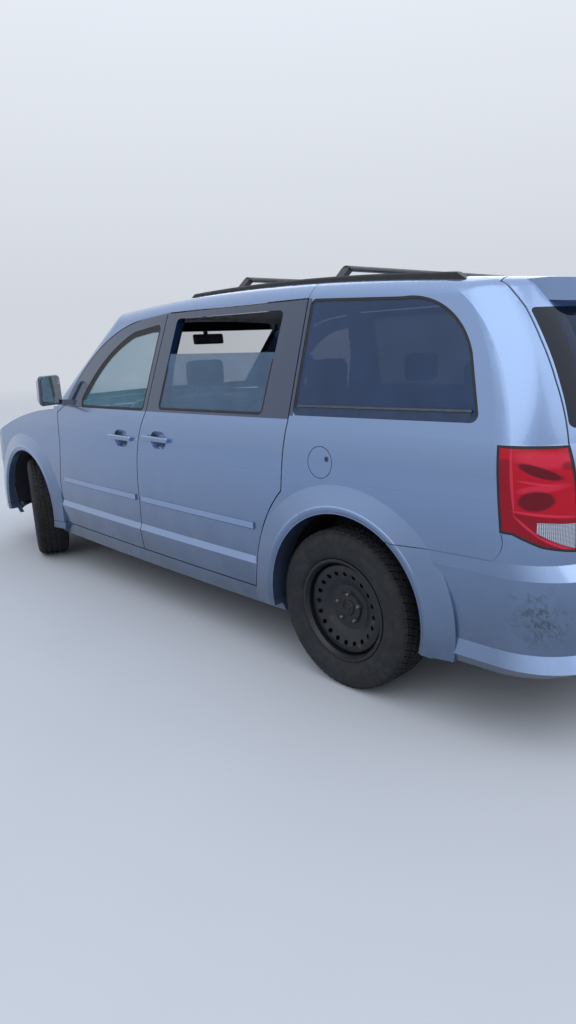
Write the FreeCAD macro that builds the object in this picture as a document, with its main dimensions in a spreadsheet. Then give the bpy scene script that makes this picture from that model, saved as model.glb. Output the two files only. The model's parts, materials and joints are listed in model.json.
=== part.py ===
"""A seven-seat minivan: hollow steel body, hinged front doors, bonnet and liftgate, four wheels.

Frame: +X forward, +Y to the van's left, +Z up, origin on the ground under the middle of the body.
The body is one set of plan outlines (sections at a height), lofted, crowned and then cut into its real panels.
"""
import FreeCAD, Part
import math
import os
import Sketcher
from collections import namedtuple
from FreeCAD import Vector

doc = FreeCAD.newDocument("minivan")

# Driving dimensions, in millimetres and degrees.
DIMENSIONS = [
    ("axle_front_x", 1625.0), ("axle_rear_x", -1453.0), ("track_half", 826.0),
    ("tyre_radius", 362.0), ("tyre_width", 225.0), ("bead_radius", 218.0), ("flange_radius", 232.0),
    ("rim_width", 178.0), ("hub_offset", 40.0), ("hub_bore_radius", 36.0), ("lug_circle", 127.0),
    ("vent_count", 20.0), ("vent_circle_radius", 160.0), ("vent_radius", 11.0),
    ("steer_rest", 22.0), ("ball_joint_y", 765.0), ("ball_joint_z", 215.0),
    ("strut_top_y", 676.0), ("strut_top_z", 900.0),
    ("arch_radius", 413.0), ("arch_z", 392.0), ("arch_front_x", 1638.0), ("arch_rear_x", -1478.0),
    ("flare_radius", 556.0), ("flare_out", 24.0),
    ("skin_lower", 84.0), ("skin_upper", 38.0), ("roof_thick", 36.0), ("panel_gap", 3.0),
    ("side_bow_radius", 45000.0), ("side_bow_x", 200.0), ("belt_z", 1150.0),
    ("roof_top_z", 1786.0), ("roof_radius", 14000.0), ("roof_crown", 13000.0), ("roof_peak_x", -780.0),
    ("cant_fillet", 90.0), ("hood_crown", 9000.0),
    ("glass_thick", 5.0), ("glass_inset", 5.0),
    ("engine_long", 560.0), ("engine_wide", 820.0), ("engine_tall", 520.0),
    ("tank_long", 760.0), ("tank_wide", 560.0), ("tank_tall", 104.0),
]
sheet = doc.addObject("Spreadsheet::Sheet", "Dims")
for row, (alias, value) in enumerate(DIMENSIONS, 1):
    sheet.set("A%d" % row, alias)
    sheet.set("B%d" % row, str(value))
    sheet.setAlias("B%d" % row, alias)
doc.recompute()
D = {alias: float(sheet.get(alias)) for alias, _ in DIMENSIONS}

COWL_X = 1100
Y_AXIS = Vector(0, 1, 0)
Z_AXIS = Vector(0, 0, 1)
ORIGIN = Vector(0, 0, 0)
nodes = []


def node(label, shape):
    """One sub-part whose shape is worked out below."""
    item = doc.addObject("Part::Feature", label)
    item.Label = label
    item.Shape = shape
    nodes.append(item)
    return item


def box(x0, x1, y0, y1, z0, z1):
    return Part.makeBox(x1 - x0, y1 - y0, z1 - z0, Vector(x0, y0, z0))


def mirrored(shape):
    """The same piece on the van's right."""
    return shape.mirror(ORIGIN, Y_AXIS)


def fuse(*shapes):
    """One solid from pieces that meet or overlap."""
    whole = shapes[0].multiFuse(list(shapes[1:])) if len(shapes) > 1 else shapes[0]
    return whole.removeSplitter()


def solids_only(shape, least=2000.0):
    """The shape without slivers, as one solid or a compound of solids."""
    kept = [s for s in shape.Solids if s.Volume > least]
    return kept[0] if len(kept) == 1 else Part.makeCompound(kept)


def cylinder_y(x, z, radius, y0, y1):
    return Part.makeCylinder(radius, y1 - y0, Vector(x, y0, z), Y_AXIS)


def rounded_box(x0, x1, y0, y1, z0, z1, radius):
    block = box(x0, x1, y0, y1, z0, z1)
    return block.makeFillet(radius, block.Edges)


def rod(a, b, radius):
    """A round bar from point a to point b."""
    a, b = Vector(*a), Vector(*b)
    return Part.makeCylinder(radius, (b - a).Length, a, b - a)


def outline(points):
    """Edges through (u, v) points; a point written (u, v, 'arc') is the middle of an arc."""
    edges = []
    count = len(points)
    index = 0
    while index < count:
        here, after = points[index], points[(index + 1) % count]
        a = (here[0], here[1])
        if len(after) == 3:
            end = points[(index + 2) % count]
            edges.append(("arc", a, (after[0], after[1]), (end[0], end[1])))
            index += 2
        else:
            edges.append(("line", a, (after[0], after[1])))
            index += 1
    return edges


def wire_of(points, place):
    edges = []
    for edge in outline(points):
        if edge[0] == "arc":
            edges.append(Part.Arc(*(place(*p) for p in edge[1:])).toShape())
        else:
            edges.append(Part.LineSegment(place(*edge[1]), place(*edge[2])).toShape())
    return Part.Wire(edges)


def side_prism(points, y0, y1, grow=0.0):
    """A side-view outline of (x, z) points, grown or shrunk, pushed through from y0 to y1."""
    wire = wire_of(points, lambda u, v: Vector(u, y0, v))
    if grow:
        wire = wire.makeOffset2D(grow)
    return Part.Face(wire).extrude(Vector(0, y1 - y0, 0))


def rear_prism(points, x0, x1, grow=0.0):
    """A rear-view outline of (y, z) points, pushed through from x0 to x1."""
    wire = wire_of(points, lambda u, v: Vector(x0, u, v))
    if grow:
        wire = wire.makeOffset2D(grow)
    return Part.Face(wire).extrude(Vector(x1 - x0, 0, 0))


def plan_prism(points, z0, z1, grow=0.0):
    """A plan outline of (x, y) points, pushed up from z0 to z1."""
    wire = wire_of(points, lambda u, v: Vector(u, v, z0))
    if grow:
        wire = wire.makeOffset2D(grow)
    return Part.Face(wire).extrude(Vector(0, 0, z1 - z0))


# The body's outer form
Level = namedtuple("Level", "z front_x front_r front_corner half_width rear_x rear_r rear_corner")
SILL_LEVELS = [Level(245, 2440, 2400, 420, 922, -2470, 2600, 260),
               Level(345, 2515, 2400, 430, 950, -2505, 2600, 260)]
ROCKER_LEVELS = [SILL_LEVELS[1],
                 Level(478, 2560, 2400, 440, 974, -2515, 2600, 260)]
LEDGE_LEVELS = [ROCKER_LEVELS[1],
                Level(512, 2566, 2400, 440, 963, -2517, 2600, 260)]
SIDE_LEVELS = [LEDGE_LEVELS[1],
               Level(700, 2575.5, 2400, 440, 970, -2520, 2600, 260),
               Level(900, 2540, 2350, 430, 972, -2518, 2600, 260),
               Level(1060, 2490, 2300, 420, 966, -2503, 2600, 260),
               Level(1150, 2450, 2300, 420, 950, -2482, 2600, 260)]
GLASSHOUSE_LEVELS = [Level(1150, 1325, 2400, 160, 950, -2482, 2600, 260),
                     Level(1400, 1000, 2400, 160, 879, -2405, 2600, 260),
                     Level(1600, 745, 2400, 170, 820, -2290, 2600, 260),
                     Level(1810, 474, 2400, 180, 756, -2112, 2600, 260)]
BUMPER_LIP = [Level(300, 2440, 2400, 420, 940, -2505, 2600, 270),
              Level(342, 2515, 2400, 430, 972, -2575.5, 2600, 290)]
BUMPER_SLOPE = [BUMPER_LIP[1],
                Level(402, 2515, 2400, 430, 958, -2548, 2600, 280)]
BUMPER_FACE = [BUMPER_SLOPE[1],
               Level(560, 2515, 2400, 430, 962, -2546, 2600, 280),
               Level(682, 2515, 2400, 430, 974, -2560, 2600, 290)]
BUMPER_SHELF = [BUMPER_FACE[2],
                Level(736, 2515, 2400, 430, 970, -2520, 2600, 260)]


def corner_arc(end_x, end_r, half_width, radius, ahead):
    """Where a corner circle touches the end arc and the side arc, with the corner's middle."""
    side_r = D["side_bow_radius"] + (half_width - 950.0)
    side_x, side_y = D["side_bow_x"], half_width - side_r
    a, b = end_r - radius, side_r - radius
    span = math.hypot(side_x - end_x, side_y)
    along = (a * a - b * b + span * span) / (2 * span)
    off = math.sqrt(a * a - along * along)
    ux, uy = (side_x - end_x) / span, side_y / span
    for turn in (1, -1):
        cx = end_x + ux * along - turn * uy * off
        cy = uy * along + turn * ux * off
        if cy > 0 and (cx - side_x) * ahead > 0:
            break
    reach = math.hypot(cx - end_x, cy)
    on_end = (end_x + (cx - end_x) / reach * end_r, cy / reach * end_r)
    reach = math.hypot(cx - side_x, cy - side_y)
    on_side = (side_x + (cx - side_x) / reach * side_r, side_y + (cy - side_y) / reach * side_r)
    mx = (on_end[0] + on_side[0]) / 2 - cx
    my = (on_end[1] + on_side[1]) / 2 - cy
    reach = math.hypot(mx, my)
    return on_end, (cx + mx / reach * radius, cy + my / reach * radius), on_side


def plan_outline(level, inset):
    """The body's closed outline at one height: eight arcs, each tangent to the next."""
    front_x, rear_x = level.front_x - inset, level.rear_x + inset
    front_r, rear_r = level.front_r - inset, level.rear_r - inset
    width = level.half_width - inset
    f_end, f_mid, f_side = corner_arc(front_x - front_r, front_r, width, level.front_corner - inset, 1)
    r_end, r_mid, r_side = corner_arc(rear_x + rear_r, rear_r, width, level.rear_corner - inset, -1)
    at = lambda p, side=1: Vector(p[0], side * p[1], level.z)
    nose, tail, beam = (front_x, 0), (rear_x, 0), (D["side_bow_x"], width)
    stops = [(at(f_end, -1), at(nose), at(f_end)), (at(f_end), at(f_mid), at(f_side)),
             (at(f_side), at(beam), at(r_side)), (at(r_side), at(r_mid), at(r_end)),
             (at(r_end), at(tail), at(r_end, -1)), (at(r_end, -1), at(r_mid, -1), at(r_side, -1)),
             (at(r_side, -1), at(beam, -1), at(f_side, -1)), (at(f_side, -1), at(f_mid, -1), at(f_end, -1))]
    return Part.Wire([Part.Arc(*three).toShape() for three in stops])


def band(levels, inset=0.0):
    """The solid between plan outlines at rising heights."""
    return Part.makeLoft([plan_outline(level, inset) for level in levels], True, len(levels) == 2)


def crowned(middle_x, top, radius, crown, base=0.0, half=1150.0, angle=12.0):
    """The solid under a barrel surface: an arc across the van swept on a larger arc along it."""
    edge_z = top - crown + math.sqrt(crown * crown - half * half)
    place = lambda y, z: Vector(middle_x, y, z)
    corners = [(-half, edge_z), (0, top, "arc"), (half, edge_z), (half, base), (-half, base)]
    face = Part.Face(wire_of(corners, place))
    hub = Vector(middle_x, 0, top - radius)
    face.rotate(hub, Y_AXIS, -angle)
    return face.revolve(hub, Y_AXIS, 2 * angle)


def circle_through(a, b, c):
    """Centre and radius of the circle through three (x, z) points."""
    (ax, az), (bx, bz), (cx, cz) = a, b, c
    d = 2 * (ax * (bz - cz) + bx * (cz - az) + cx * (az - bz))
    ux = ((ax**2 + az**2) * (bz - cz) + (bx**2 + bz**2) * (cz - az) + (cx**2 + cz**2) * (az - bz)) / d
    uz = ((ax**2 + az**2) * (cx - bx) + (bx**2 + bz**2) * (ax - cx) + (cx**2 + cz**2) * (bx - ax)) / d
    return ux, uz, math.hypot(ax - ux, az - uz)


HOOD_LINE = [(1325, 1158), (1880, 1046), (2540, 800)]  # along the bonnet's centre: cowl, middle, leading edge


def hood_mass(drop=0.0):
    """The solid under the bonnet's surface, lowered by drop."""
    x, z, radius = circle_through(*HOOD_LINE)
    return crowned(x, z + radius - drop, radius - drop, D["hood_crown"], base=z + radius - 1500, angle=42)


def roof_barrel(drop=0.0):
    """The solid under the roof's surface, lowered by drop."""
    return crowned(D["roof_peak_x"], D["roof_top_z"] - drop, D["roof_radius"] - drop, D["roof_crown"])


def glasshouse(inset=0.0, drop=0.0):
    """Everything above the waist: pillars, glass and roof."""
    solid = band(GLASSHOUSE_LEVELS, inset)
    solid = solid.common(roof_barrel(drop))
    roof = max(solid.Faces, key=lambda f: f.CenterOfMass.z)
    return solid.makeFillet(D["cant_fillet"] - inset, roof.OuterWire.Edges)


def waist(inset=0.0, drop=0.0):
    """Sides, wings and bonnet, from the crease above the sills up to the waist."""
    solid = band(SIDE_LEVELS, inset)
    ahead = box(COWL_X, 2700, -1100, 1100, 400, 1400)
    return solid.cut(ahead.cut(hood_mass(drop)))


def lower_body(inset=0.0, drop=0.0):
    return fuse(band(SILL_LEVELS, inset), band(ROCKER_LEVELS, inset), band(LEDGE_LEVELS, inset),
                waist(inset, drop))


# Side-view outlines of the panels (x, z), left side; 'arc' marks the middle point of an arc.
B_SEAM = [(-106, 1683), (-41, 1166), (30, 985, "arc"), (66, 643), (88, 352)]
FRONT_DOOR = [(1090, 352), (1086, 640), (1036, 850), (1024, 975, "arc"), (1036, 1110), (915, 1176),
              (581, 1508, "arc"), (110, 1662)] + B_SEAM
SLIDING_DOOR = B_SEAM[::-1] + [(-1158, 1692), (-1158, 1175), (-1127, 862), (-1030, 740, "arc"), (-954, 545),
                               (-927, 352)]
FRONT_WINDOW = [(712, 1157), (712, 1213), (480, 1452, "arc"), (200, 1596), (-62, 1630), (-10, 1168)]
SLIDING_WINDOW = [(-152, 1180), (-203, 1650), (-1018, 1652), (-985, 1192)]
QUARTER_WINDOW = [(-1178, 1200), (-1178, 1690), (-1660, 1668), (-1899, 1597, "arc"), (-2010, 1452),
                  (-2084, 1213)]
FENDER = [(1095, 352), (1091, 640), (1041, 850), (1029, 975, "arc"), (1041, 1112), (1041, 1149), (2140, 1149),
          (2122, 900), (2205, 695), (2105, 690), (2105, 352)]
HEADLAMP = [(2127, 900), (2210, 695), (2600, 690), (2600, 720), (2450, 790), (2300, 842)]
TAIL_LAMP = [(-2166, 1144), (-2197, 844), (-2239, 842), (-2328, 800), (-2421, 777), (-2600, 777), (-2600, 1144)]
REAR_BUMPER = [(-1700, 728), (-2165, 735), (-2196, 765, "arc"), (-2201, 838), (-2239, 836), (-2328, 795),
               (-2421, 772), (-2650, 772), (-2650, 280), (-1700, 280)]
# Front-view and rear-view outlines (y, z).
WINDSHIELD = [(-790, 1163), (790, 1163), (668, 1636), (0, 1664, "arc"), (-668, 1636)]
BACKLIGHT = [(-753, 1200), (753, 1200), (735, 1347), (713, 1489), (693, 1600), (-693, 1600), (-713, 1489),
             (-735, 1347)]
BACKLIGHT_OPENING = [(-686, 1234), (686, 1234), (670, 1347), (650, 1489), (634, 1570), (-634, 1570),
                     (-650, 1489), (-670, 1347)]
LIFTGATE = [(-752, 744), (752, 744), (762, 1149), (741, 1347), (719, 1489), (698, 1600), (692, 1690),
            (692, 1850), (-692, 1850), (-692, 1690), (-698, 1600), (-719, 1489), (-741, 1347), (-762, 1149)]
# Plan outlines (x, y).
HOOD = [(1290, -735), (1392, 0, "arc"), (1290, 735), (2150, 700), (2430, 560), (2640, 520), (2640, -520),
        (2430, -560), (2150, -700)]
ROOF = [(-2041, -690), (-2041, 690), (720, 690), (720, -690)]
LIFTGATE_FRONT_X = -2046

GAP = D["panel_gap"]
LEFT_HALF = box(-2700, 2700, 0, 1200, 0, 2000)


def rounded(points, radius, place):
    """A wire with its outer corners rounded."""
    return wire_of(points, place).makeOffset2D(-radius).makeOffset2D(radius)


def window_prism(points, y0, y1, radius=28.0):
    wire = rounded(points, radius, lambda u, v: Vector(u, y0, v))
    return Part.Face(wire).extrude(Vector(0, y1 - y0, 0))


def end_window_prism(points, x0, x1, radius=45.0):
    wire = rounded(points, radius, lambda u, v: Vector(x0, u, v))
    return Part.Face(wire).extrude(Vector(x1 - x0, 0, 0))


# Body solids at the depths where one layer of the walls ends and the next begins
def flare(x, y_body, tilt):
    """The raised lip round a wheel arch, on the left."""
    r0, r1, out = D["arch_radius"] - 20, D["flare_radius"], D["flare_out"]
    profile = [(r0, y_body - 90), (r0, y_body + out - 9), (r0 + 26, y_body + out - 7),
               (r0 + 36, y_body + out, "arc"), (r0 + 56, y_body + out - 2), (r1, y_body - 3), (r1, y_body - 90)]
    face = Part.Face(wire_of(profile, lambda r, y: Vector(r, y, 0)))
    ring = face.revolve(ORIGIN, Y_AXIS, 360)
    ring.rotate(Vector(0, y_body, 0), Z_AXIS, tilt)
    ring.translate(Vector(x, 0, D["arch_z"]))
    return ring.common(box(x - 700, x + 700, 700, 1200, 302, 1200))


def side_y(x, half_width):
    """How far out the side stands at x."""
    r = D["side_bow_radius"]
    return half_width - r + math.sqrt(r * r - (x - D["side_bow_x"]) ** 2)


def bow_angle(x):
    return math.degrees(math.asin((x - D["side_bow_x"]) / D["side_bow_radius"]))


skin_0 = lower_body()
behind_arch = box(-2700, -1900, -1200, 1200, 200, 736)
bumper_0 = fuse(band(BUMPER_LIP), band(BUMPER_SLOPE), band(BUMPER_FACE), band(BUMPER_SHELF)).common(behind_arch)
rear_flare = flare(D["arch_rear_x"], side_y(D["arch_rear_x"], 970), -bow_angle(D["arch_rear_x"]))
front_flare = flare(D["arch_front_x"], side_y(D["arch_front_x"], 970), -bow_angle(D["arch_front_x"]))
flares = [rear_flare, mirrored(rear_flare), front_flare, mirrored(front_flare)]
skin_0 = fuse(skin_0.cut(behind_arch), bumper_0, *flares)
skin_30 = lower_body(30.0, 30.0)
skin_84 = lower_body(D["skin_lower"], D["skin_lower"])
glass_0, glass_16 = glasshouse(), glasshouse(16.0, 16.0)
glass_38 = glasshouse(D["skin_upper"], D["roof_thick"])
pane_out, pane_in = glasshouse(4.0, 4.0), glasshouse(9.0, 9.0)
layer_skin = skin_0.cut(skin_30)
layer_lining = skin_30.cut(skin_84)
layer_roof = glass_0.cut(glass_38)
panes = pane_out.cut(pane_in)

arch_cuts = [cylinder_y(D["arch_front_x"], D["arch_z"], D["arch_radius"], 500, 1200),
             cylinder_y(D["arch_rear_x"], D["arch_z"], D["arch_radius"], 500, 1200)]
arches = Part.makeCompound(arch_cuts + [mirrored(c) for c in arch_cuts])


cladding, backing = glass_0.cut(glass_16), glass_16.cut(glass_38)
door_zone = box(-1300, 1200, 600, 1200, 300, 1750)
door_skin, door_lining = layer_skin.common(door_zone), layer_lining.common(door_zone)
frame_skin, frame_lining = cladding.common(door_zone), backing.common(door_zone)


def door_pair(points):
    """Lower shell and upper frame of a left door: an outer skin over a smaller lining."""
    wide, narrow = side_prism(points, 500, 1200, -GAP), side_prism(points, 500, 1200, -14.0)
    lower = fuse(door_skin.common(wide), door_lining.common(narrow))
    upper = fuse(frame_skin.common(wide), frame_lining.common(narrow))
    return lower, upper


# Doors
moulding_band = band([Level(651, 2570, 2400, 440, 978, -2525, 2600, 260),
                      Level(684, 2570, 2400, 440, 978, -2525, 2600, 260)]).cut(skin_30)


def handle(x0, x1, cup_x, z):
    """The cup behind a pull handle, and the bar across it."""
    y = side_y(cup_x, 968)
    cup = [Part.makeSphere(58, Vector(x, y + 34, z - 4)) for x in (cup_x - 26, cup_x + 26)]
    cup = fuse(*cup, Part.makeCylinder(58, 52, Vector(cup_x - 26, y + 34, z - 4), Vector(1, 0, 0)))
    pull = rounded_box(x0, x1, y - 6, y + 24, z - 14, z + 14, 9)
    pull = pull.cut(box(x0 + 34, x1 - 34, y - 20, y + 9, z - 40, z + 40))
    return cup, pull


def finish_lower(lower, moulding_x, handle_sizes):
    strip = moulding_band.common(box(moulding_x[0], moulding_x[1], 900, 1200, 600, 720))
    cup, pull = handle(*handle_sizes)
    return fuse(lower.cut(cup), strip, pull)


front_lower, front_upper = door_pair(FRONT_DOOR)
front_window = window_prism(FRONT_WINDOW, 500, 1200)
front_lower = finish_lower(front_lower.cut(arches), (100, 1001), (92, 339, 213, 1007))
front_upper = front_upper.cut(front_window)
slide_lower, slide_upper = door_pair(SLIDING_DOOR)
slide_window = window_prism(SLIDING_WINDOW, 500, 1200)
slide_lower = finish_lower(slide_lower.cut(arches), (-934, 35), (-280, -35, -175, 1025))
slide_upper = slide_upper.cut(slide_window)
slide = fuse(slide_lower, slide_upper)


def pane(points, grow=-0.5):
    wire = rounded(points, 28.0, lambda u, v: Vector(u, 500, v)).makeOffset2D(grow)
    return panes.common(Part.Face(wire).extrude(Vector(0, 700, 0)))


def mirror_housing():
    """A door mirror on its foot, at the front corner of the window."""
    shell = Part.makeLoft([wire_of(p, lambda y, z, x=x: Vector(x, y, z)) for x, p in (
        (905, [(956, 1166), (1120, 1160), (1113, 1364), (962, 1370)]),
        (1002, [(978, 1186), (1098, 1182), (1092, 1328), (984, 1332)]))], True, True)
    shell = shell.makeFillet(22, shell.Edges)
    foot_sections = [(908, 800, 885), (948, 800, 885), (990, 880, 950)]  # y, x0, x1
    foot_wires = []
    for y, x0, x1 in foot_sections:
        foot_wires.append(wire_of([(x0, 1167), (x1, 1167), (x1 - 12, 1196), (x0 + 12, 1202)],
                                  lambda x, z: Vector(x, y, z)))
    foot = Part.makeLoft(foot_wires, True, True)
    recess = end_window_prism([(969, 1180), (1106, 1175), (1100, 1351), (974, 1356)], 880, 909, 26.0)
    return fuse(shell, foot).cut(recess)


mirror = mirror_housing()
mirror_glass = end_window_prism([(972, 1183), (1103, 1178), (1097, 1348), (977, 1353)], 901, 905, 24.0)
front_frame = fuse(front_upper, mirror)
front_glass = Part.makeCompound([pane(FRONT_WINDOW), mirror_glass])
for side, turn in (("left", lambda s: s), ("right", mirrored)):
    node("front_%s_door" % side, turn(front_lower))
    node("front_%s_frame" % side, turn(front_frame))
    node("front_%s_glass" % side, turn(front_glass))
    node("sliding_door_%s" % side, turn(slide))

# Fixed side glass; the left sliding door's pane is wound part way down.
quarter_pane = pane(QUARTER_WINDOW)
slide_pane = pane(SLIDING_WINDOW)
lowered_pane = slide_pane.common(box(-1300, 0, 500, 1200, 1100, 1469))
side_panes = [quarter_pane, mirrored(quarter_pane), lowered_pane, mirrored(slide_pane)]
node("side_glass", Part.makeCompound(side_panes))

# Windscreen, roof and rear door
front_screen = end_window_prism(WINDSHIELD, 450, 1600)
rear_screen = end_window_prism(BACKLIGHT, -2700, -2048, 20.0)
rear_opening = end_window_prism(BACKLIGHT_OPENING, -2700, -2048)
roof_prism = plan_prism(ROOF, 1500, 1850)
liftgate_prism = rear_prism(LIFTGATE, -2700, LIFTGATE_FRONT_X)
liftgate_room = rear_prism(LIFTGATE, -2700, LIFTGATE_FRONT_X + 5, 5.0)
liftgate_core = rear_prism(LIFTGATE, -2700, LIFTGATE_FRONT_X, -14.0)
node("roof_panel", layer_roof.common(roof_prism).cut(front_screen))
screen_wire = rounded(WINDSHIELD, 45.0, lambda u, v: Vector(450, u, v)).makeOffset2D(-0.5)
node("windscreen", panes.common(Part.Face(screen_wire).extrude(Vector(1200, 0, 0))))
gate_lower = fuse(layer_skin.common(liftgate_prism), layer_lining.common(liftgate_core))
gate_upper = fuse(cladding.common(liftgate_prism), backing.common(liftgate_core))
outer_4 = glass_0.cut(pane_out)
spoiler_levels = Level(1500, 500, 2400, 170, 688, -2335, 2600, 120)
visor = roof_barrel().cut(roof_barrel(76.0))
visor = visor.common(Part.Face(plan_outline(spoiler_levels, 0.0)).extrude(Vector(0, 0, 200)))
visor = visor.common(box(-2400, -2090, -800, 800, 1550, 1800)).cut(glass_16)
gate = fuse(gate_lower, gate_upper, visor).cut(rear_opening).cut(outer_4.common(rear_screen))
plate_recess = box(-2700, -2504, -262, 262, 800, 930)
plate_holes = [Part.makeCylinder(3.5, 30, Vector(-2515, y, 905), Vector(1, 0, 0)) for y in (-89, 89)]
wiper_hole = Part.makeCylinder(10, 120, Vector(-2520, 0, 1168), Vector(1, 0, 0))
node("liftgate", gate.cut(plate_recess).cut(Part.makeCompound(plate_holes + [wiper_hole])))
back_wire = rounded(BACKLIGHT, 20.0, lambda u, v: Vector(-2700, u, v)).makeOffset2D(-0.5)
back_prism = Part.Face(back_wire).extrude(Vector(650, 0, 0))
node("liftgate_glass", glass_0.cut(glasshouse(3.6, 3.6)).common(back_prism))

# Wipers: the blades follow the glass
blade_layer = glasshouse(-9.0, -9.0).cut(glasshouse(-1.0, -1.0))


def blade(y0, y1, z, x0, x1):
    strip = [(y0, z - 6), (y1, z - 6), (y1, z + 6), (y0, z + 6)]
    return blade_layer.common(rear_prism(strip, x0, x1))


shaft = Part.makeCylinder(9.95, 55, Vector(-2501, 0, 1168), Vector(1, 0, 0))
knob = Part.makeCylinder(17, 20, Vector(-2506, 0, 1168), Vector(1, 0, 0))
rear_arm = rod((-2494, 0, 1168), (-2467, -270, 1213), 6)
node("rear_wiper", fuse(shaft, knob, rear_arm, blade(-480, -60, 1213, -2700, -2048)))
wipers = []
for pivot, tip, blade_y in (((1290, 560, 1164), (1264, 250, 1191), (-60, 560)),
                            ((1340, -80, 1168), (1253, -370, 1191), (-680, -90))):
    wipers += [rod(pivot, tip, 6), rod((pivot[0], pivot[1], 1126), (pivot[0], pivot[1], pivot[2] + 6), 14),
               blade(*blade_y, 1191, 900, 1500)]

# Bonnet, wings, front and rear bumpers, lamps
hood_prism = plan_prism(HOOD, 700, 1400, -GAP)
hood_room = plan_prism(HOOD, 700, 1400, GAP)
above_nose = box(1000, 2700, -1100, 1100, 770, 1400)
node("hood", layer_skin.common(hood_prism).common(above_nose))
hood_space = hood_room.common(box(1000, 2700, -1100, 1100, 765, 1400))
cowl_zone = plan_prism([(1180, -735), (1180, 735), (1288, 735), (1390, 0, "arc"), (1288, -735)], 1050, 1200)
cabin_top = Part.Face(plan_outline(GLASSHOUSE_LEVELS[0], 45.0)).extrude(Vector(0, 0, -80))
cowl = fuse(layer_skin.common(cowl_zone).cut(cabin_top).cut(hood_space), *wipers)
fender = layer_skin.common(side_prism(FENDER, 0, 1200)).cut(hood_space).cut(arches)
fender = fender.cut(cowl_zone).cut(cabin_top)
lamp_layer = skin_0.cut(lower_body(60.0, 60.0))
headlamp = lamp_layer.common(side_prism(HEADLAMP, 440, 1200, -1.5)).cut(hood_space)
tail_lamp = lamp_layer.common(side_prism(TAIL_LAMP, 500, 1200, -1.5)).cut(liftgate_room)
front_clip = layer_skin.common(box(2000, 2700, -1200, 1200, 262, 1200)).cut(hood_space).cut(arches)
front_clip = front_clip.cut(side_prism(FENDER, -1200, 1200, GAP)).cut(side_prism(HEADLAMP, 437, 1200, 1.5))
front_clip = front_clip.cut(side_prism(HEADLAMP, -1200, -437, 1.5))
grille_hole = rear_prism([(-400, 630), (400, 630), (420, 748), (-420, 748)], 2300, 2700)
intake_hole = rear_prism([(-520, 330), (520, 330), (560, 430), (-560, 430)], 2300, 2700)
front_clip = front_clip.cut(grille_hole).cut(intake_hole)
bars = []
for z in (352, 380, 408):
    bars.append(box(2300, 2700, -556, 556, z - 5, z + 5))
for z in (652, 678, 704, 730):
    bars.append(box(2300, 2700, -410, 410, z - 6, z + 6))
grille_layer = lower_body(6.0, 6.0).cut(skin_30)
grille_frame = Part.makeCompound([grille_hole, intake_hole])
post_heights = ((300, 450), (600, 760))
grille_posts = [box(2300, 2700, y - 6, y + 6, z0, z1) for y in (-300, 0, 300) for z0, z1 in post_heights]
nose = box(2300, 2700, -600, 600, 300, 760)
grille = grille_layer.common(nose).common(fuse(*(bars + grille_posts)).common(grille_frame))
node("grille", grille)
node("front_bumper", solids_only(front_clip, 200000))
rear_space = side_prism(REAR_BUMPER, -1200, 1200)
rear_bumper = layer_skin.common(rear_space).cut(liftgate_room).cut(arches)
rear_bumper = rear_bumper.common(box(-2700, -1700, -1200, 1200, 280, 900))
seam_line = side_prism(REAR_BUMPER, 700, 1200, 1.6).cut(side_prism(REAR_BUMPER, 700, 1200, -1.6))
seam_line = seam_line.cut(lower_body(4.0, 4.0)).common(box(-2212, -1705, 700, 1200, 600, 850))
seam_lines = Part.makeCompound([seam_line, mirrored(seam_line)])
rear_bumper = rear_bumper.cut(seam_lines)
node("rear_bumper", solids_only(rear_bumper, 200000))
node("headlamps", Part.makeCompound([headlamp, mirrored(headlamp)]))
node("tail_lamps", Part.makeCompound([tail_lamp, mirrored(tail_lamp)]))
node("fender_left", solids_only(fender, 200000))
node("fender_right", mirrored(solids_only(fender, 200000)))

# Side frames
doors_room = [side_prism(FRONT_DOOR, 500, 1200, GAP), side_prism(SLIDING_DOOR, 500, 1200, GAP)]
doors_room = [doors_room[0].fuse(doors_room[1])]
side = skin_0.cut(skin_84).common(LEFT_HALF).common(box(-2700, 1218, 0, 1200, 262, 1150))
side = side.cut(layer_skin.common(side_prism(FENDER, 0, 1200, GAP)))
side = side.cut(layer_skin.common(rear_space)).cut(lamp_layer.common(side_prism(TAIL_LAMP, 500, 1200, 1.5)))
side = side.cut(Part.makeCompound(doors_room))
side = side.cut(liftgate_room).cut(arches).cut(box(-2700, -2100, 0, 788, 200, 745))
side = side.cut(seam_line)
top = layer_roof.common(LEFT_HALF).cut(roof_prism).cut(front_screen).cut(liftgate_room)
top = top.cut(Part.makeCompound(doors_room))
top = top.cut(window_prism(QUARTER_WINDOW, 500, 1200))
pillar_sections = [(262, 20, 130, 812, 862), (1150, -70, 40, 806, 860), (1400, -100, -20, 776, 826),
                   (1722, -150, -60, 690, 730)]  # z, x0, x1, y0, y1
pillar = Part.makeLoft([wire_of([(x0, y0), (x1, y0), (x1, y1), (x0, y1)], lambda u, v, z=z: Vector(u, v, z))
                        for z, x0, x1, y0, y1 in pillar_sections], True, True)
side_frame = solids_only(fuse(side, top, pillar), 200000)
fuel_x, fuel_z = -1366, 1013
pocket = cylinder_y(fuel_x, fuel_z, 69, side_y(fuel_x, 968) - 40, 1100)
fuel_disc = layer_skin.common(cylinder_y(fuel_x, fuel_z, 66, side_y(fuel_x, 968) - 12, 1100))
rail_seam = outer_4.common(side_prism([(-1159, 1685), (-1156, 1685), (-1190, 1795), (-1193, 1795)], 600, 900))
side_frame = side_frame.cut(rail_seam)
node("side_frame_left", side_frame.cut(pocket))
node("side_frame_right", mirrored(side_frame))
node("fuel_door", fuel_disc)
node("cowl_panel", cowl)


# Parametric pieces: primitives, sketches and booleans bound to the sheet
Size = namedtuple("Size", "value formula")


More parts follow.
